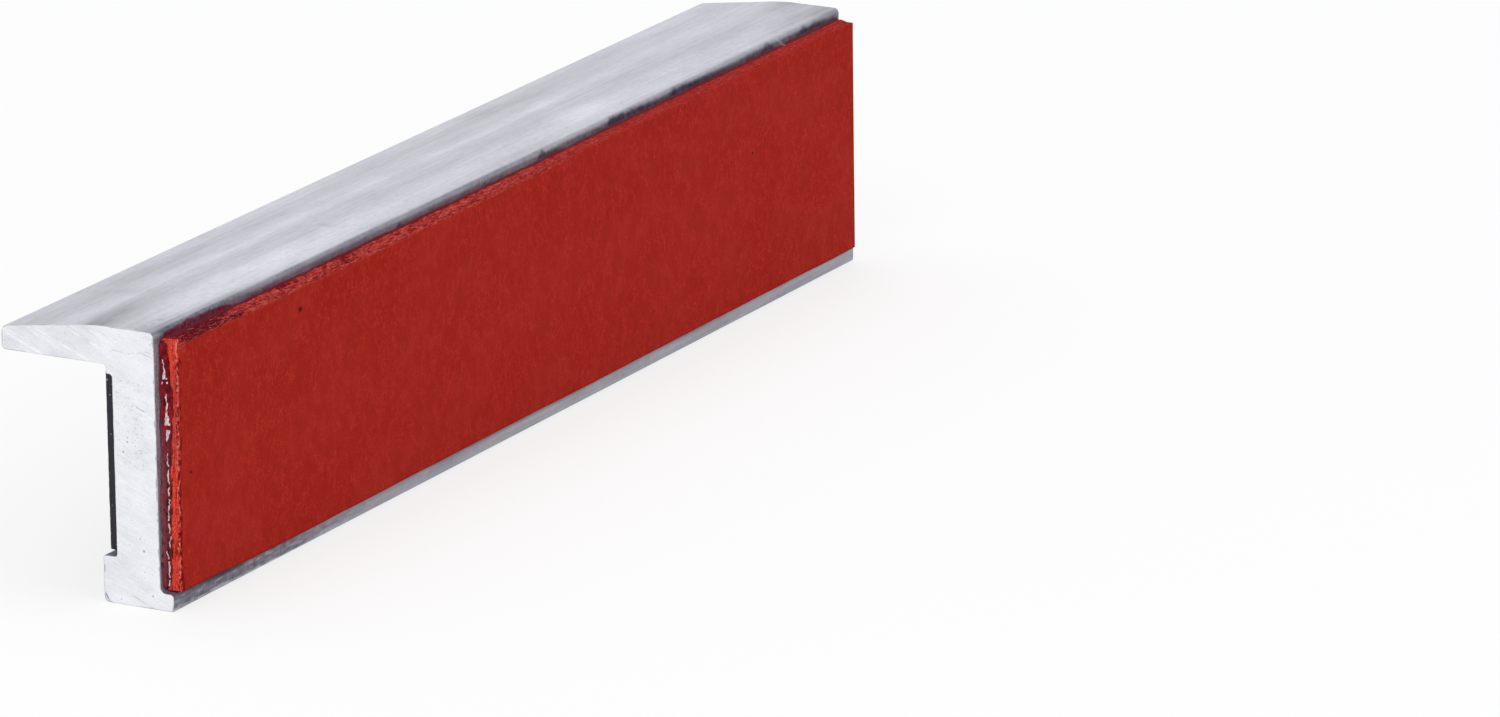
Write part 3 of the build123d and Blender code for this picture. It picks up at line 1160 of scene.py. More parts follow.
def drip_ridges(y, z, s):
    """Height and painted highlight of the drips at each place on the bead's skin. A drip is
    half an ellipse across its own line, and higher where it is wider. It has soft ends and
    wandering sides, and a broad one's painted highlight is weaker in its middle."""
    drip, drip_highlight = np.zeros(y.shape), np.zeros(y.shape)
    for upper, lower, y_upper, y_lower, half_upper, half_lower in DRIPS:
        along = (upper - z) / (upper - lower)
        share = np.clip(along, 0, 1)
        middle = y_upper + (y_lower - y_upper) * share + 0.05 * ripple(z / 0.35, 105)
        half = half_upper + (half_lower - half_upper) * share**2.2
        half = half * (1 + np.where(half < 0.09, 0.75, 0.35) * clouds(z / 0.22, s * 9, 106, 2))
        inside = np.clip(1 - ((y - middle) / half) ** 2, 0, 1)
        ends = ease(along * 12) * ease((1 - along) * (upper - lower) / 0.12)
        drip = np.maximum(drip, np.sqrt(inside) * ends * (0.5 + half / 0.3))
        hollow = ease((inside - 0.55) / 0.35) * ease((half - 0.12) / 0.06)
        drip_highlight = np.maximum(drip_highlight, ease(inside * 4) * ends * (1 - 0.35 * hollow))
    return drip, drip_highlight


def bead_surface(settings):
    """The glue pressed out past the fibre's near end: a section carried up the corner. Its
    skin runs from a foot on the wall to a crest on the cut face, both wandering with
    height, and swells between them by half a sine, clouds and the drips. The rest of the
    section is buried in the wall and the fibre, and both ends shrink to nothing."""
    z = np.linspace(FIBRE_LOW[2] + BEAD_FOOT, FIBRE_HIGH[2] + BEAD_HEAD, BEAD_RINGS)
    s = np.linspace(0, 1, BEAD_ROWS)
    up = z[:, None]
    end = near_cut(z) + 0.03
    fade = np.sqrt(np.clip(np.minimum(z - z[0], z[-1] - z) / 0.35, 0, 1))
    width = 0.42 + 0.26 * ease((19.5 - z) / 4) + 0.22 * ripple(z / 1.7, 101)
    width = settings.bead_width / MM * width * fade
    reach = follow(BEAD_CREST, z) * (0.4 + 0.6 * fade) + 0.05 * ripple(z / 0.9, 102)
    foot = np.stack([end - width, 0 * z + 0.02, z], axis=1)
    crest = np.stack([end - 0.07 * fade, np.minimum(reach, -0.3), z], axis=1)
    skin = foot[:, None] * (1 - s)[:, None] + crest[:, None] * s[:, None]
    round_over = np.sin(np.pi * s)
    swell = 0.08 * round_over * (1 + 0.6 * clouds(up / 1.6, s * 1.5, 103))
    swell = swell + 0.06 * clouds(up / 0.8, s * 3.0, 104) * round_over
    drip, drip_highlight = drip_ridges(skin[..., 1], up, s)
    swell = (swell + 0.07 * drip) * fade[:, None]
    skin[..., 0] -= 0.76 * swell
    skin[..., 1] -= 0.65 * swell * (1 - s)
    corners = ((end + 0.3, crest[:, 1] + 0.05), (end + 0.3, 0.15), (end - width, 0.15))
    buried = [np.stack([x, 0 * z + y, z], axis=1) for x, y in corners]
    ring = np.concatenate([skin, np.stack(buried, axis=1)], axis=1)
    rows, closed = ring_numbers(*ring.shape[:2])
    points = ring.reshape(-1, 3)
    middle = np.stack([ring[0].mean(axis=0), ring[-1].mean(axis=0)])
    first, last = len(points), len(points) + 1
    bottom = np.stack([np.full(ring.shape[1], first), closed[0, 1:], closed[0, :-1]], axis=1)
    top = np.stack([np.full(ring.shape[1], last), closed[-1, :-1], closed[-1, 1:]], axis=1)
    points = np.concatenate([points, middle])
    marks = {name: np.zeros(len(points)) for name in ("drip", "crest", "thin")}
    # The drip mask holds the drips' painted highlight
    marks["drip"][rows[:, : len(s)]] = drip_highlight
    marks["crest"][rows[:, : len(s)]] = s
    marks["thin"][rows] = ease((18 - up) / 4)
    return points, [grid_quads(closed, turn=True), bottom, top], marks


def edge_skin():
    """The skin of glue and painted dark reflection over the bar's front top edge. It follows
    the wall up, round the edge's arc and on to the top, a hair off the metal, and is a
    little thicker where glue is smeared: up to the measured limit, with a soft ragged rim. A
    rounded fillet runs along the fibre. Where no glue lies it has the metal's own finish
    under the painted reflection, which turns mauve low on the wall, most in the near half,
    as a painted red reflection of the fibre, and its borders dive into the metal. Its
    underside runs deeper."""
    near, far = BAR_LOW[0] + SKIN_INSETS[0], BAR_HIGH[0] - SKIN_INSETS[1]
    x = np.linspace(near, far, SKIN_STATIONS)[:, None]
    wall = np.linspace(WALL_SHOWN, EDGE_FOOT, SKIN_WALL)
    arc = np.linspace(0, np.pi / 2, SKIN_ARC)[1:]
    flat = np.array(SKIN_TOP)
    y0 = np.concatenate([0 * wall, EDGE_RADIUS - EDGE_RADIUS * np.cos(arc), flat])
    z0 = np.concatenate([wall, EDGE_FOOT + EDGE_RADIUS * np.sin(arc), 0 * flat + BAR_TOP])
    ny = np.concatenate([0 * wall - 1, -np.cos(arc), 0 * flat])
    nz = np.concatenate([0 * wall, np.sin(arc), 0 * flat + 1])
    up = np.concatenate([[0], np.cumsum(np.hypot(np.diff(y0), np.diff(z0)))])

    reach = 0.27 + follow(SMEAR_LINE, x) + 0.045 * ripple(x / 0.8, 111)
    depth = reach - up + 0.06 * clouds(x / 0.8, up * 2.2, 112)
    soft = 0.08 + 0.15 * ease((x + 46) / 6) + 0.10 * ease((x - 4) / 6)
    foot, lean, half = SCRAPE
    scraped = 1 - 0.6 * bell((x - foot + lean * up) / half)
    glue = ease(depth / soft / 2 + 0.5) * (0.9 + 0.25 * clouds(x / 0.5, up * 1.3, 113))
    glue = np.clip(glue, 0, 1) * ease((x - BAR_LOW[0] - 1.4) / 0.3) * scraped
    start = ease((x - FIBRE_LOW[0] - 0.15) / 0.2)
    fillet = 0.34 * np.clip(1 - (up - 0.38) / 0.2, 0, 1) ** 2 * start
    height = 0.005 + 0.016 * glue + fillet * (0.9 + 0.15 * ripple(x / 1.2, 114))
    height = np.where(up > up[-1] - 0.12, -0.06, height)
    ends = ease((x - x[0]) / 0.12) * ease((x[-1] - x) / 0.12)
    height = height * ends - 0.08 * (1 - ends)

    below = -SKIN_DEPTH + 0 * height
    outer, inner = (
        np.stack([x + 0 * up, y0 + ny * off, z0 + nz * off], axis=2) for off in (height, below)
    )
    ring = np.concatenate([outer, inner[:, ::-1]], axis=1)
    rows, closed = ring_numbers(*ring.shape[:2])
    caps = []
    for end, turn in ((0, True), (-1, False)):
        outside, underside = np.split(rows[end], 2)
        caps.append(grid_quads(np.stack([outside, underside[::-1]]), turn=turn))
    wander = 0.04 * clouds(x / 1.6, up, 115, 2)
    fields = {
        "glue": glue,
        "wine": ease((-45.5 - x) / 4) + 0 * up,
        "low": start * scraped * ease((0.66 + wander - up) / 0.22),
        # violet: where the painted reflection turns mauve, a painted red reflection of the fibre
        "violet": ease((24.85 - z0) / 0.4) * (0.35 + 0.65 * ease((4 - x) / 12)),
        "rim": glue * ease(1 - (depth - 0.02) / 0.16),
        "haze": painted_edge_reflection(x, y0, z0) * scraped,
        "shade": np.where(z0 > 25.0, top_shade(x, y0), 0),
    }
    marks = {}
    for name, field in fields.items():
        marks[name] = np.concatenate([field, field[:, ::-1]], axis=1).ravel()
    return ring.reshape(-1, 3), [grid_quads(closed), *caps], marks


def magnet_surface(settings):
    """The magnet strip: a slab with rounded edges, its back very slightly rolled, and its
    two sheared ends roughened by fine clouds."""
    low, high = MAGNET_LOW, MAGNET_HIGH
    xs = spread(low[0], high[0], BAND_ALONG)
    ys = np.linspace(low[1], high[1], BAND_ROWS)
    zs = spread(low[2], high[2], BAND_UP)
    points, flat, quads = slab_skin(xs, ys, zs, settings.edge_radius / MM)
    x, y, z = flat.T
    back = ease((y - high[1] + 0.05) / 0.04)
    end = ease((np.abs(x) - high[0] + 0.12) / 0.1)
    points[:, 1] -= back * (0.006 + 0.012 * clouds(x / 14, z / 5, 121))
    points[:, 0] += np.sign(x) * end * (0.14 - 0.03 * clouds(y / 0.25, z / 0.35, 122))
    return points, [quads], {"sheared": end}


def toned(colour, red, green=None, blue=None):
    """The colour with each channel scaled by its share, or all by the first."""
    shares = (red, red if green is None else green, red if blue is None else blue)
    return tuple(min(channel * share, 1) for channel, share in zip(colour, shares))


class Wiring:
    """A node tree, and short ways to add nodes to it."""

    def __init__(self, tree):
        self.tree = tree

    def feed(self, socket, value):
        """Links the socket to value where that is a socket too, and otherwise sets it."""
        if isinstance(value, bpy.types.NodeSocket):
            self.tree.links.new(value, socket)
        elif socket.type == "RGBA":
            socket.default_value = (*value[:3], 1)
        else:
            socket.default_value = value

    def wire(self, kind, inputs=None, **options):
        """Adds a node. options are its own settings; inputs pairs a socket's name or number
        with a value, or with the socket that feeds it."""
        node = self.tree.nodes.new(kind)
        for key, value in options.items():
            setattr(node, key, value)
        for key, value in (inputs or {}).items():
            self.feed(node.inputs[key], value)
        return node

    def between(self, value, low, high, to_low=0.0, to_high=1.0):
        """Maps value from low..high to to_low..to_high and stops at both."""
        inputs = {0: value, 1: low, 2: high, 3: to_low, 4: to_high}
        return self.wire("ShaderNodeMapRange", inputs, clamp=True).outputs[0]

    def reckon(self, operation, *values):
        """One sum on numbers: ADD, MAXIMUM and so on."""
        return self.wire("ShaderNodeMath", dict(enumerate(values)), operation=operation).outputs[0]

    def times(self, first, second):
        """The product of two values."""
        return self.reckon("MULTIPLY", first, second)

    def vector(self, operation, *values):
        """The node for one sum on vectors."""
        return self.wire("ShaderNodeVectorMath", dict(enumerate(values)), operation=operation)

    def blend(self, share, first, second):
        """Mixes two colours; each is a socket or three numbers."""
        node = self.wire("ShaderNodeMix", data_type="RGBA")
        colours = [socket for socket in node.inputs if socket.type == "RGBA"]
        factor = next(socket for socket in node.inputs if socket.type == "VALUE")
        for socket, value in zip((factor, *colours), (share, first, second)):
            self.feed(socket, value)
        return next(socket for socket in node.outputs if socket.type == "RGBA")

    def mix(self, mask, low, high, first, second):
        """From the first colour to the second as mask goes from low to high."""
        return self.blend(self.between(mask, low, high), first, second)

    def lay(self, base, *layers):
        """Lays colours over base. Each layer is a mask, the two values that it passes
        from none of the layer to its full share, that share, and its colour."""
        for mask, low, high, share, colour in layers:
            base = self.blend(self.between(mask, low, high, 0, share), base, colour)
        return base

    def seen_directly(self):
        """1 for what the camera sees, also by way of gloss or glass, and 0 for the light
        that falls on things."""
        rays = self.wire("ShaderNodeLightPath").outputs
        seen = self.reckon("MAXIMUM", rays["Is Camera Ray"], rays["Is Glossy Ray"])
        return self.reckon("MAXIMUM", seen, rays["Is Transmission Ray"])


class Finish(Wiring):
    """A node material in the making, with its shader and with Object coordinates in
    millimetres as its place."""

    def __init__(self, name):
        self.material = bpy.data.materials.new(name)
        self.material.use_nodes = True
        super().__init__(self.material.node_tree)
        self.shader = self.tree.nodes["Principled BSDF"]
        metres = self.wire("ShaderNodeTexCoord").outputs["Object"]
        scaled = self.wire("ShaderNodeMapping", {"Vector": metres, "Scale": (1 / MM,) * 3})
        self.place = scaled.outputs[0]

    def noise(self, place, scale, detail, roughness=0.5):
        """The noise node at a place, with its spots this many to the unit."""
        inputs = {"Vector": place, "Scale": scale, "Detail": detail, "Roughness": roughness}
        return self.wire("ShaderNodeTexNoise", inputs)

    def grain(self, size, turn=(0, 0, 0), detail=3.0, roughness=0.5, shift=(0, 0, 0)):
        """Cloudy noise between 0 and 1, whose spots measure size along each axis in mm."""
        inputs = {"Vector": self.place, "Rotation": turn, "Location": shift}
        fitted = self.wire("ShaderNodeMapping", inputs, vector_type="POINT").outputs[0]
        inputs = {"Vector": fitted, "Scale": tuple(1 / length for length in size)}
        scaled = self.wire("ShaderNodeMapping", inputs).outputs[0]
        return self.noise(scaled, 1.0, detail, roughness).outputs["Fac"]

    def attribute(self, name):
        """The number that the piece's mesh holds under this name."""
        return self.wire("ShaderNodeAttribute", attribute_name=name).outputs["Fac"]

    def along(self, axis):
        """The place along one axis, in mm."""
        return self.wire("ShaderNodeSeparateXYZ", {0: self.place}).outputs[axis]

    def spot(self, centre, size):
        """1 in the middle of a small spot at a measured place, falling to 0 at its rim; its
        outline is pulled about by noise."""
        wander = self.noise(self.place, 4.0, 2.0).outputs["Color"]
        pulled = self.vector("MULTIPLY_ADD", wander, (0.3,) * 3, (-0.15,) * 3).outputs[0]
        moved = self.vector("ADD", self.place, pulled).outputs[0]
        away = self.vector("SUBTRACT", moved, centre).outputs[0]
        fitted = self.vector("MULTIPLY", away, tuple(1 / length for length in size)).outputs[0]
        reach = self.vector("LENGTH", fitted).outputs["Value"]
        return self.between(reach, 0.55, 1.0, 1.0, 0.0)

    def relief(self, height, distance):
        """Lets height, in millimetres of distance, tilt the surface."""
        bump = self.wire("ShaderNodeBump", {"Height": height, "Distance": distance * MM})
        self.feed(self.shader.inputs["Normal"], bump.outputs[0])

    def finished(self, inputs):
        """Gives the shader its inputs and hands over the material."""
        for name, value in inputs.items():
            self.feed(self.shader.inputs[name], value)
        return self.material


def aluminium_material(settings):
    """Aluminium as extruded: lengthwise streaks and clouds in colour and gloss, over the
    lighter and darker parts that the mesh holds, partly painted shading on the top, and
    hairline scratches. Over it lie a painted dark reflection, blue grey, streaked mauve on
    the wall and violet low on the front edge, and smeared glue where the mesh says so: grey
    violet, wine red at the near end and down along the fibre, with a darker rim. On the lip
    the wine red is painted shade with a red reflection of the fibre."""
    bar = Finish("aluminium_as_extruded")
    metal = settings.colour
    dull = toned(metal, 0.62)
    streaks = bar.grain((30, 0.42, 0.42), detail=4)
    fine = bar.grain((9, 0.10, 0.10))
    blotch = bar.grain((7, 2.4, 2.4), detail=4, shift=(3, 5, 1))
    mottle = bar.grain((0.75, 0.38, 0.38), shift=(6, 1, 2))
    hair = bar.grain((6, 0.045, 0.045), turn=(0, 0, 0.05), detail=1)
    stray = bar.grain((5, 0.05, 0.05), turn=(0, 0, -0.9), detail=1, shift=(0, 9, 4))
    mixed = bar.reckon("ADD", bar.times(streaks, 0.5), bar.times(blotch, 0.5))
    base = bar.mix(bar.attribute("shade"), -3.0, 3.0, toned(metal, 0.25), toned(metal, 1.75))
    cast = bar.between(mixed, 0.32, 0.68)
    base = bar.blend(cast, base, bar.blend(0.30, base, (0.72, 0.72, 0.78)))
    base = bar.lay(
        base,
        (cast, 1.0, 0.0, 0.14, dull),
        (fine, 0.38, 0.68, 0.16, dull),
        (mottle, 0.48, 0.74, 0.26, dull),
    )
    lengthwise = bar.between(hair, 0.69, 0.75, 0, 0.35)
    askew = bar.between(stray, 0.745, 0.79, 0, 0.30)
    base = bar.blend(bar.reckon("MAXIMUM", lengthwise, askew), base, (0.80, 0.80, 0.85))

    # Painted dark reflection where the mesh's mask says: blue grey, streaked on the wall, violet
    # low on the front edge
    haze = bar.attribute("haze")
    patchy = bar.grain((0.9, 0.3, 0.3), detail=4, shift=(0, 2, 0))
    upright = bar.grain((0.13, 1.6, 1.6), shift=(0, 4, 4))
    flecks = bar.grain((0.13, 0.4, 0.28), detail=2, shift=(2, 6, 4))
    reflected_dark = bar.mix(upright, 0.34, 0.68, (0.082, 0.086, 0.118), (0.162, 0.158, 0.198))
    # On the front wall the painted reflection is streaked mauve with pale and dark flecks, a
    # painted reflection of the red fibre
    wall_reflection = bar.mix(upright, 0.38, 0.64, (0.060, 0.042, 0.062), (0.350, 0.285, 0.345))
    wall_reflection = bar.lay(
        wall_reflection,
        (flecks, 0.57, 0.68, 0.9, (0.72, 0.68, 0.72)),
        (flecks, 0.43, 0.33, 0.8, (0.030, 0.020, 0.030)),
    )
    reflected_dark = bar.blend(bar.attribute("front_wall"), reflected_dark, wall_reflection)
    # Violet where the mesh says: painted red reflection of the fibre low on the front edge
    violet = bar.mix(upright, 0.34, 0.68, (0.090, 0.038, 0.085), (0.170, 0.095, 0.165))
    reflected_dark = bar.blend(bar.attribute("violet"), reflected_dark, violet)
    base = bar.blend(bar.times(haze, bar.between(patchy, 0.3, 0.7, 0.76, 1.0)), base, reflected_dark)

    glue, wine, low, rim = map(bar.attribute, ("glue", "wine", "low", "rim"))
    drawn = bar.grain((0.24, 0.45, 0.45), turn=(0, 0.5, 0), detail=4, shift=(5, 0, 0))
    red = bar.mix(drawn, 0.34, 0.62, (0.080, 0.003, 0.013), (0.225, 0.020, 0.048))
    red = bar.lay(red, (drawn, 0.62, 0.74, 0.7, (0.40, 0.17, 0.21)))
    grey = bar.mix(drawn, 0.36, 0.70, settings.smear_colour, (0.080, 0.066, 0.102))
    smear = bar.blend(wine, grey, red)
    smear = bar.blend(bar.times(rim, 0.55), smear, (0.045, 0.040, 0.060))
    base = bar.blend(glue, base, smear)
    # Wine red where the low mask says: on the lip painted shade with a red reflection of the
    # fibre, on the edge skin the glue along the fibre
    base = bar.blend(low, base, (0.125, 0.003, 0.012))
    # The metal is less metallic under glue, under the lip's painted shade and under the painted
    # reflection
    cover = bar.reckon("MAXIMUM", bar.reckon("MAXIMUM", glue, low), bar.times(haze, 0.7))
    height = bar.reckon("ADD", fine, bar.times(hair, 0.6))
    bar.relief(bar.reckon("ADD", height, bar.times(mottle, 0.5)), 0.007)
    return bar.finished(
        {
            "Base Color": base,
            "Metallic": bar.between(cover, 0.0, 1.0, 0.85, 0.0),
            "Roughness": bar.between(mixed, 0.3, 0.7, 0.50, 0.38),
            "Specular IOR Level": 0.06,
        }
    )


def sawn_material(settings):
    """Sawn aluminium: bright, with short fine strokes that climb to the back, a mottle of
    specks, and the scores and pits that the mesh holds."""
    end = Finish("aluminium_sawn")
    metal = settings.sawn_colour
    strokes = end.grain((0.6, 1.5, 0.07), turn=(-0.4, 0, 0))
    wide = end.grain((2, 3.5, 1.2), turn=(-0.4, 0, 0))
    speck = end.grain((0.13, 0.16, 0.13))
    glint = end.grain((0.2, 0.22, 0.12), turn=(-0.4, 0, 0), detail=2, shift=(4, 4, 4))
    tone = end.attribute("tone")
    base = end.mix(wide, 0.35, 0.65, toned(metal, 0.93), metal)
    base = end.lay(
        base,
        (strokes, 0.55, 0.75, 0.6, (0.98, 0.98, 1.0)),
        (strokes, 0.43, 0.28, 0.45, (0.62, 0.64, 0.70)),
        (speck, 0.60, 0.74, 0.42, (0.42, 0.44, 0.50)),
        (glint, 0.62, 0.75, 0.8, (1.0, 1.0, 1.0)),
        (tone, 0.0, 1.0, 1.0, (1.0, 1.0, 1.0)),
        (tone, 0.0, -1.0, 1.0, (0.16, 0.17, 0.22)),
    )
    end.relief(end.reckon("ADD", strokes, end.times(speck, 0.8)), 0.010)
    roughness = end.between(strokes, 0.3, 0.7, 0.58, 0.46)
    return end.finished({"Base Color": base, "Metallic": 0.75, "Roughness": roughness})


def fibre_material(settings):
    """Vulcanised fibre: matte red paper with fine speckle and faint upright grain on its
    faces, a brighter fuzzy cut at the near end, and torn plies over dark gaps along the
    top edge, soaked with glue where the mesh says so. On the torn edge and the cut the
    colour follows how high the fibre stands: painted shade in the gaps and hollows, painted
    highlights on raised plies, lumps and burr crumbs. The front face has painted shade in
    its score and along its bottom edge. The plies are coarser in the near half."""
    paper = Finish("vulcanised_fibre")
    red = settings.colour
    speckle = paper.grain((0.13, 0.13, 0.17), roughness=0.7)
    mottle = paper.grain((0.45, 0.45, 0.6), shift=(2, 7, 3))
    upright = paper.grain((0.12, 0.2, 1.3))
    patch = paper.grain((9, 9, 6), shift=(4, 0, 2))
    cast = paper.grain((1.5, 1.5, 2.2), shift=(8, 0, 6))
    pinks = paper.grain((0.22, 0.22, 0.26), detail=1, shift=(9, 2, 5))
    specks = paper.grain((0.55, 0.55, 0.55), detail=0, shift=(11, 3, 8))
    darker, lighter = toned(red, 0.67, 0.58, 0.58), toned(red, 1.29, 1.95, 2.15)
    base = paper.mix(speckle, 0.36, 0.66, darker, lighter)
    plain = paper.between(paper.along(2), 14.0, 21.0, 0.58, 0.85)
    spots = paper.times(paper.between(mottle, 0.60, 0.38), plain)
    lines = paper.times(paper.between(upright, 0.50, 0.68), plain)
    base = paper.blend(spots, base, toned(red, 0.74, 0.56, 0.60))
    base = paper.blend(lines, base, toned(red, 0.70, 0.52, 0.60))
    base = paper.lay(
        base,
        (patch, 0.40, 0.62, 0.42, toned(red, 0.92, 1.5, 1.9)),
        (cast, 0.56, 0.38, 0.55, toned(red, 0.76, 0.72, 0.68)),
        (pinks, 0.70, 0.82, 0.5, (0.50, 0.075, 0.060)),
        (specks, 0.855, 0.88, 0.6, (0.10, 0.006, 0.006)),
    )
    for centre, size in FIBRE_FLECKS:
        base = paper.blend(paper.spot(centre, size), base, (0.085, 0.002, 0.002))

    edge, near, lift, soak, score = map(paper.attribute, ("edge", "near", "lift", "soak", "score"))
    fibres = paper.grain((0.9, 0.11, 0.11), turn=(0, 0, 0.12))
    lumps = paper.grain((0.60, 0.14, 0.14), detail=2, shift=(7, 7, 7))
    coarse = paper.between(paper.along(0), -8.0, 20.0, 1.0, 0.35)
    ply = paper.blend(coarse, (0.40, 0.024, 0.016), (0.47, 0.050, 0.038))
    # Torn edge: darker where it lies lower, painted shade in the gaps; the lighter and darker
    # lumps are painted highlights and shade on the plies
    torn = paper.mix(lift, -0.8, 1.1, (0.240, 0.004, 0.005), ply)
    for mask, low, high, share, colour in (
        (lumps, 0.53, 0.66, 0.8, (0.60, 0.100, 0.078)),
        (lumps, 0.47, 0.36, 0.85, (0.145, 0.003, 0.004)),
        (fibres, 0.56, 0.76, 0.50, (0.62, 0.115, 0.090)),
    ):
        fading = paper.times(paper.between(mask, low, high, 0, share), coarse)
        torn = paper.blend(fading, torn, colour)
    torn = paper.lay(torn, (fibres, 0.45, 0.30, 0.5, (0.22, 0.003, 0.004)))
    glued = paper.mix(fibres, 0.42, 0.56, (0.075, 0.001, 0.004), (0.175, 0.006, 0.012))
    glued = paper.lay(glued, (fibres, 0.58, 0.68, 0.85, (0.46, 0.120, 0.115)))
    torn = paper.blend(soak, torn, glued)

    combed = paper.grain((0.2, 0.07, 0.8), shift=(1, 1, 7))
    dots = paper.grain((0.10, 0.10, 0.12), detail=2, shift=(2, 2, 2))
    # Cut end: darker where it lies lower, with painted shade in its back corner and under the
    # bead's crest, and pale on raised burr crumbs as a painted highlight
    cut = paper.mix(lift, -0.6, 0.6, (0.64, 0.036, 0.022), settings.cut_colour)
    cut = paper.blend(paper.times(soak, 0.6), cut, (0.46, 0.040, 0.038))
    cut = paper.lay(
        cut,
        (combed, 0.50, 0.32, 0.5, (0.30, 0.012, 0.010)),
        (dots, 0.54, 0.66, 0.55, (0.82, 0.20, 0.150)),
        (dots, 0.46, 0.34, 0.65, (0.27, 0.008, 0.008)),
        (lift, 0.6, 1.3, 0.65, (0.80, 0.28, 0.23)),
    )
    # Painted shade in the deepest gaps of the torn edge and the cut, and pale fuzz specks
    edges = paper.lay(
        paper.blend(near, torn, cut),
        (lift, -0.25, -0.9, 1.0, (0.175, 0.002, 0.003)),
        (speckle, 0.58, 0.76, 0.24, (0.72, 0.17, 0.13)),
    )
    # Front face: painted shade in the score and along its bottom edge, and pink crumbs by the
    # front edge
    base = paper.lay(
        paper.blend(edge, base, edges),
        (score, -0.10, -0.8, 1.0, (0.12, 0.005, 0.004)),
        (score, 0.25, 1.0, 0.6, (0.66, 0.15, 0.11)),
    )
    paper.relief(paper.reckon("ADD", speckle, paper.times(upright, 0.5)), 0.05)
    return paper.finished({"Base Color": base, "Roughness": 0.78, "Specular IOR Level": 0.06})


def strand_material():
    """Loose fibres: pinkish red, lighter and darker from one to the next."""
    strand = Finish("loose_fibres")
    tint = strand.grain((0.35, 0.35, 0.35), detail=1)
    base = strand.mix(tint, 0.35, 0.65, (0.34, 0.020, 0.016), (0.72, 0.19, 0.155))
    return strand.finished({"Base Color": base, "Roughness": 0.8, "Specular IOR Level": 0.1})


def glue_material(settings):
    """Cured contact glue: dark wine red, glossy and a little cloudy, darker by the wall and
    redder by the fibre, with painted whitish highlights on the drips, broken up by noise."""
    glue = Finish("contact_glue")
    inside = glue.grain((0.26, 0.26, 0.6), detail=4)
    highlight_breakup = glue.grain((0.10, 0.10, 0.35), shift=(3, 3, 3))
    ripples = glue.grain((0.16, 0.16, 0.4), shift=(2, 2, 2))
    crest, thin, drip = map(glue.attribute, ("crest", "thin", "drip"))
    body = glue.blend(thin, settings.colour, (0.100, 0.011, 0.016))
    deep = glue.mix(crest, 0.0, 0.4, (0.125, 0.034, 0.054), body)
    foot = glue.times(thin, glue.between(crest, 0.68, 0.12))
    deep = glue.blend(foot, deep, (0.205, 0.066, 0.082))
    bright = glue.blend(thin, (0.34, 0.006, 0.012), (0.190, 0.020, 0.027))
    base = glue.mix(inside, 0.48, 0.64, deep, bright)
    base = glue.lay(base, (inside, 0.46, 0.34, 0.85, (0.030, 0.002, 0.004)))
    # Painted highlights on the drips: pale pinkish white, broken up by noise
    white = glue.blend(thin, (0.82, 0.72, 0.75), (0.84, 0.60, 0.62))
    pale = glue.mix(highlight_breakup, 0.32, 0.56, (0.36, 0.15, 0.17), white)
    broken = glue.between(highlight_breakup, 0.28, 0.42, 0.35, 1.0)
    base = glue.blend(glue.times(glue.between(drip, 0.15, 0.75), broken), base, pale)
    glue.relief(ripples, 0.05)
    roughness = glue.between(ripples, 0.3, 0.8, 0.16, 0.40)
    return glue.finished({"Base Color": base, "Roughness": roughness, "Specular IOR Level": 0.10})


def magnet_material(settings):
    """Magnet strip: satin blue-black rubber with a faint roll, smudges, scuffs and a worn
    border, and a rougher, purplish sheared end that glints."""
    strip = Finish("magnet_rubber")
    black = settings.colour
    roll = strip.grain((14, 1.2, 1.2))
    smudge = strip.grain((9, 4, 4), shift=(1, 8, 3))
    dust = strip.grain((0.12, 0.12, 0.12), detail=2)
    scuff = strip.grain((0.16, 2.5, 2.5), turn=(0, 0.3, 0), detail=1, shift=(6, 2, 9))
    grit = strip.grain((0.5, 0.5, 0.5), detail=0, shift=(3, 1, 7))
    base = strip.mix(roll, 0.3, 0.7, toned(black, 0.80), toned(black, 1.20))
    middle = (MAGNET_LOW[2] + MAGNET_HIGH[2]) / 2
    half = (MAGNET_HIGH[2] - MAGNET_LOW[2]) / 2
    from_middle = strip.reckon("ABSOLUTE", strip.reckon("SUBTRACT", strip.along(2), middle))
    base = strip.lay(
        base,
        (smudge, 0.50, 0.68, 0.35, (0.045, 0.045, 0.056)),
        (scuff, 0.74, 0.80, 0.30, (0.09, 0.09, 0.11)),
        (grit, 0.84, 0.87, 0.5, (0.16, 0.16, 0.18)),
        (from_middle, half - 0.30, half - 0.02, 0.45, (0.075, 0.075, 0.090)),
    )
    sheared = strip.attribute("sheared")
    base = strip.blend(sheared, base, (0.014, 0.012, 0.020))
    glint = strip.between(strip.grain((0.22, 0.22, 0.22), detail=0, shift=(5, 5, 5)), 0.80, 0.86)
    base = strip.blend(strip.times(glint, sheared), base, (0.55, 0.52, 0.55))
    strip.relief(dust, 0.012)
    roughness = strip.between(roll, 0.3, 0.7, 0.46, 0.54)
    return strip.finished({"Base Color": base, "Roughness": roughness, "Specular IOR Level": 0.32})


def film_material():
    """Adhesive film behind the magnet strip: yellowed grey, with trapped clouds."""
    film = Finish("adhesive_film")
    trapped = film.grain((1.5, 1.5, 1.5))
    base = film.mix(trapped, 0.35, 0.65, (0.20, 0.19, 0.17), (0.33, 0.32, 0.29))
    return film.finished({"Base Color": base, "Roughness": 0.45})


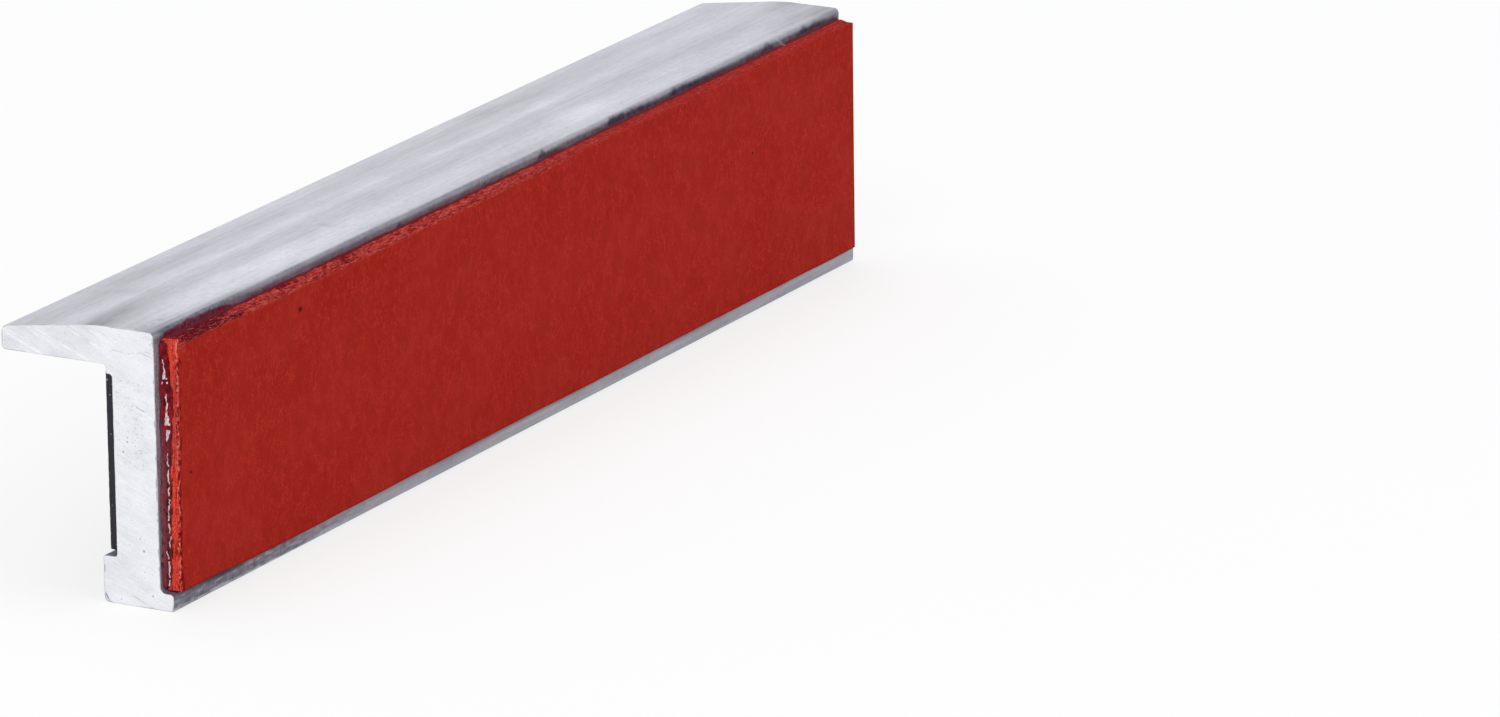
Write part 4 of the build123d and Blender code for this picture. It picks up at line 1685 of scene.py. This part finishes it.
def floor_material(settings):
    """Pale floor, very slightly uneven in tone. The camera and the metal see part of it as
    white paper that needs no light, so the jaw's shadow on it stays faint."""
    ground = Finish("floor")
    pale = settings.floor_colour
    base = ground.blend(ground.grain((90, 90, 90), detail=2), toned(pale, 0.985), pale)
    share = ground.times(ground.seen_directly(), PAPER_SHARE)
    paper = ground.wire("ShaderNodeEmission", {"Color": (1, 1, 1), "Strength": 1.0}).outputs[0]
    both = ground.wire("ShaderNodeMixShader", {0: share, 1: ground.shader.outputs[0], 2: paper})
    surface = ground.tree.nodes["Material Output"].inputs["Surface"]
    ground.feed(surface, both.outputs[0])
    return ground.finished({"Base Color": base, "Roughness": 0.9, "Specular IOR Level": 0.1})


def pose(right, up, back, place):
    """The matrix that turns an object's own axes to these three and puts it at place."""
    matrix = np.eye(4)
    matrix[:3] = np.stack([right, up, back, place], axis=1)
    return Matrix(matrix.tolist())


class VISE_JAW_OT_stage(bpy.types.Operator):
    """Camera, floor, soft lamps and white surroundings"""

    bl_idname = "vise_jaw.stage"
    bl_label = "Stage"

    def execute(self, context):
        settings = context.scene.vise_jaw_stage
        scene = context.scene
        azimuth, elevation, roll = np.radians(CAMERA_TURN)
        right = np.array([np.cos(azimuth), np.sin(azimuth), 0])
        outward = np.array([np.sin(azimuth), -np.cos(azimuth), 0])
        back = outward * np.cos(elevation) + (0, 0, np.sin(elevation))
        up = np.cross(back, right)
        across = np.cos(roll) * right + np.sin(roll) * up
        upward = np.cos(roll) * up - np.sin(roll) * right
        stand = np.dot(CAMERA_STAND, [across, upward, back]) * MM
        lens = bpy.data.cameras.new("camera")
        lens.sensor_fit = "HORIZONTAL"
        lens.sensor_width = SENSOR_WIDTH
        lens.lens = settings.lens
        lens.clip_start = 0.01
        camera = bpy.data.objects.new("camera", lens)
        camera.matrix_world = pose(across, upward, back, stand)
        scene.collection.objects.link(camera)
        scene.camera = camera

        mesh = bpy.data.meshes.new("floor")
        reach = FLOOR_REACH
        corners = [(-reach, -reach, 0), (reach, -reach, 0), (reach, reach, 0), (-reach, reach, 0)]
        mesh.from_pydata(corners, [], [(0, 1, 2, 3)])
        mesh.materials.append(floor_material(settings))
        floor = bpy.data.objects.new("floor", mesh)
        scene.collection.objects.link(floor)

        for name, place, size, power in LAMPS:
            light = bpy.data.lights.new(name, "AREA")
            light.shape = "SQUARE"
            light.size = size
            light.energy = power
            lamp = bpy.data.objects.new(name, light)
            toward = -np.array(place) / np.linalg.norm(place)
            side = np.cross(toward, (0, 0, 1.0))
            side /= np.linalg.norm(side)
            lamp.matrix_world = pose(side, np.cross(side, toward), -toward, place)
            scene.collection.objects.link(lamp)

        world = bpy.data.worlds.new("studio")
        world.use_nodes = True
        scene.world = world
        room = Wiring(world.node_tree)
        white = room.tree.nodes["Background"].inputs
        strength = room.between(room.seen_directly(), 0, 1, ROOM_LIGHT, ROOM_WHITE)
        room.feed(white["Color"], (1, 1, 1))
        room.feed(white["Strength"], strength)
        scene.view_settings.view_transform = "Standard"
        return {"FINISHED"}


class VISE_JAW_OT_extrusion(bpy.types.Operator):
    """Aluminium extrusion with sawn ends, and the glue smeared on its front top edge"""

    bl_idname = "vise_jaw.extrusion"
    bl_label = "Aluminium Extrusion"

    def execute(self, context):
        settings = context.scene.vise_jaw_bar
        points, faces, marks, sawn = bar_surface(settings)
        extruded = aluminium_material(settings)
        both = (extruded, sawn_material(settings))
        piece = new_piece(
            "extrusion_bar", points, faces, marks, both, "extrusion", ("jaw_body",), sawn
        )
        piece.data.set_sharp_from_angle(angle=np.radians(SHARP_ANGLE))
        new_piece("front_edge_skin", *edge_skin(), (extruded,), "extrusion")
        return {"FINISHED"}


class VISE_JAW_OT_fibre(bpy.types.Operator):
    """Fibre facing with its loose fibres"""

    bl_idname = "vise_jaw.fibre"
    bl_label = "Fibre Facing"

    def execute(self, context):
        settings = context.scene.vise_jaw_fibre
        red = (fibre_material(settings),)
        new_piece("fibre_plate", *fibre_plate(settings), red, "fibre", ("fibre_facing",))
        new_piece("fibre_cut_end", *fibre_cut(settings), red, "fibre")
        new_piece("loose_fibres", *loose_fibres(settings), {}, (strand_material(),), "fibre")
        return {"FINISHED"}


class VISE_JAW_OT_glue(bpy.types.Operator):
    """Glue bead at the near end"""

    bl_idname = "vise_jaw.glue"
    bl_label = "Contact Glue"

    def execute(self, context):
        settings = context.scene.vise_jaw_glue
        bead = bead_surface(settings)
        cured = (glue_material(settings),)
        new_piece("glue_bead", *bead, cured, "facing_glue", ("facing_glue",))
        return {"FINISHED"}


class VISE_JAW_OT_magnet(bpy.types.Operator):
    """Magnet strip and the adhesive film behind it"""

    bl_idname = "vise_jaw.magnet"
    bl_label = "Magnet Strip"

    def execute(self, context):
        settings = context.scene.vise_jaw_magnet
        strip = magnet_surface(settings)
        rubber = (magnet_material(settings),)
        new_piece("magnet_band", *strip, rubber, "magnet", ("magnet_strip",))
        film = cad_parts["magnet_glue"]
        if not film.material_slots:
            film.data.materials.append(None)
        film.material_slots[0].material = film_material()
        return {"FINISHED"}


# Each piece or group with its settings and its operator, in the order of making
STEPS = (
    ("vise_jaw_stage", StageSettings, VISE_JAW_OT_stage),
    ("vise_jaw_bar", BarSettings, VISE_JAW_OT_extrusion),
    ("vise_jaw_fibre", FibreSettings, VISE_JAW_OT_fibre),
    ("vise_jaw_glue", GlueSettings, VISE_JAW_OT_glue),
    ("vise_jaw_magnet", MagnetSettings, VISE_JAW_OT_magnet),
)


class VIEW3D_PT_vise_jaw(bpy.types.Panel):
    """Sidebar panel that lists the pieces of the vise jaw"""

    bl_idname = "VIEW3D_PT_vise_jaw"
    bl_label = "Vise Jaw"
    bl_space_type = "VIEW_3D"
    bl_region_type = "UI"
    bl_category = "Vise Jaw"

    def draw(self, context):
        for name, group, operator in STEPS:
            box = self.layout.box()
            box.operator(operator.bl_idname)
            for setting in group.__annotations__:
                box.prop(getattr(context.scene, name), setting)


def register():
    for name, group, operator in STEPS:
        bpy.utils.register_class(group)
        bpy.utils.register_class(operator)
        setattr(bpy.types.Scene, name, PointerProperty(type=group))
    bpy.utils.register_class(VIEW3D_PT_vise_jaw)


def unregister():
    bpy.utils.unregister_class(VIEW3D_PT_vise_jaw)
    for name, group, operator in reversed(STEPS):
        delattr(bpy.types.Scene, name)
        bpy.utils.unregister_class(operator)
        bpy.utils.unregister_class(group)


def main():
    register()
    bpy.ops.vise_jaw.stage()
    bpy.ops.vise_jaw.extrusion()
    bpy.ops.vise_jaw.fibre()
    bpy.ops.vise_jaw.glue()
    bpy.ops.vise_jaw.magnet()


if __name__ == "__main__":
    main()
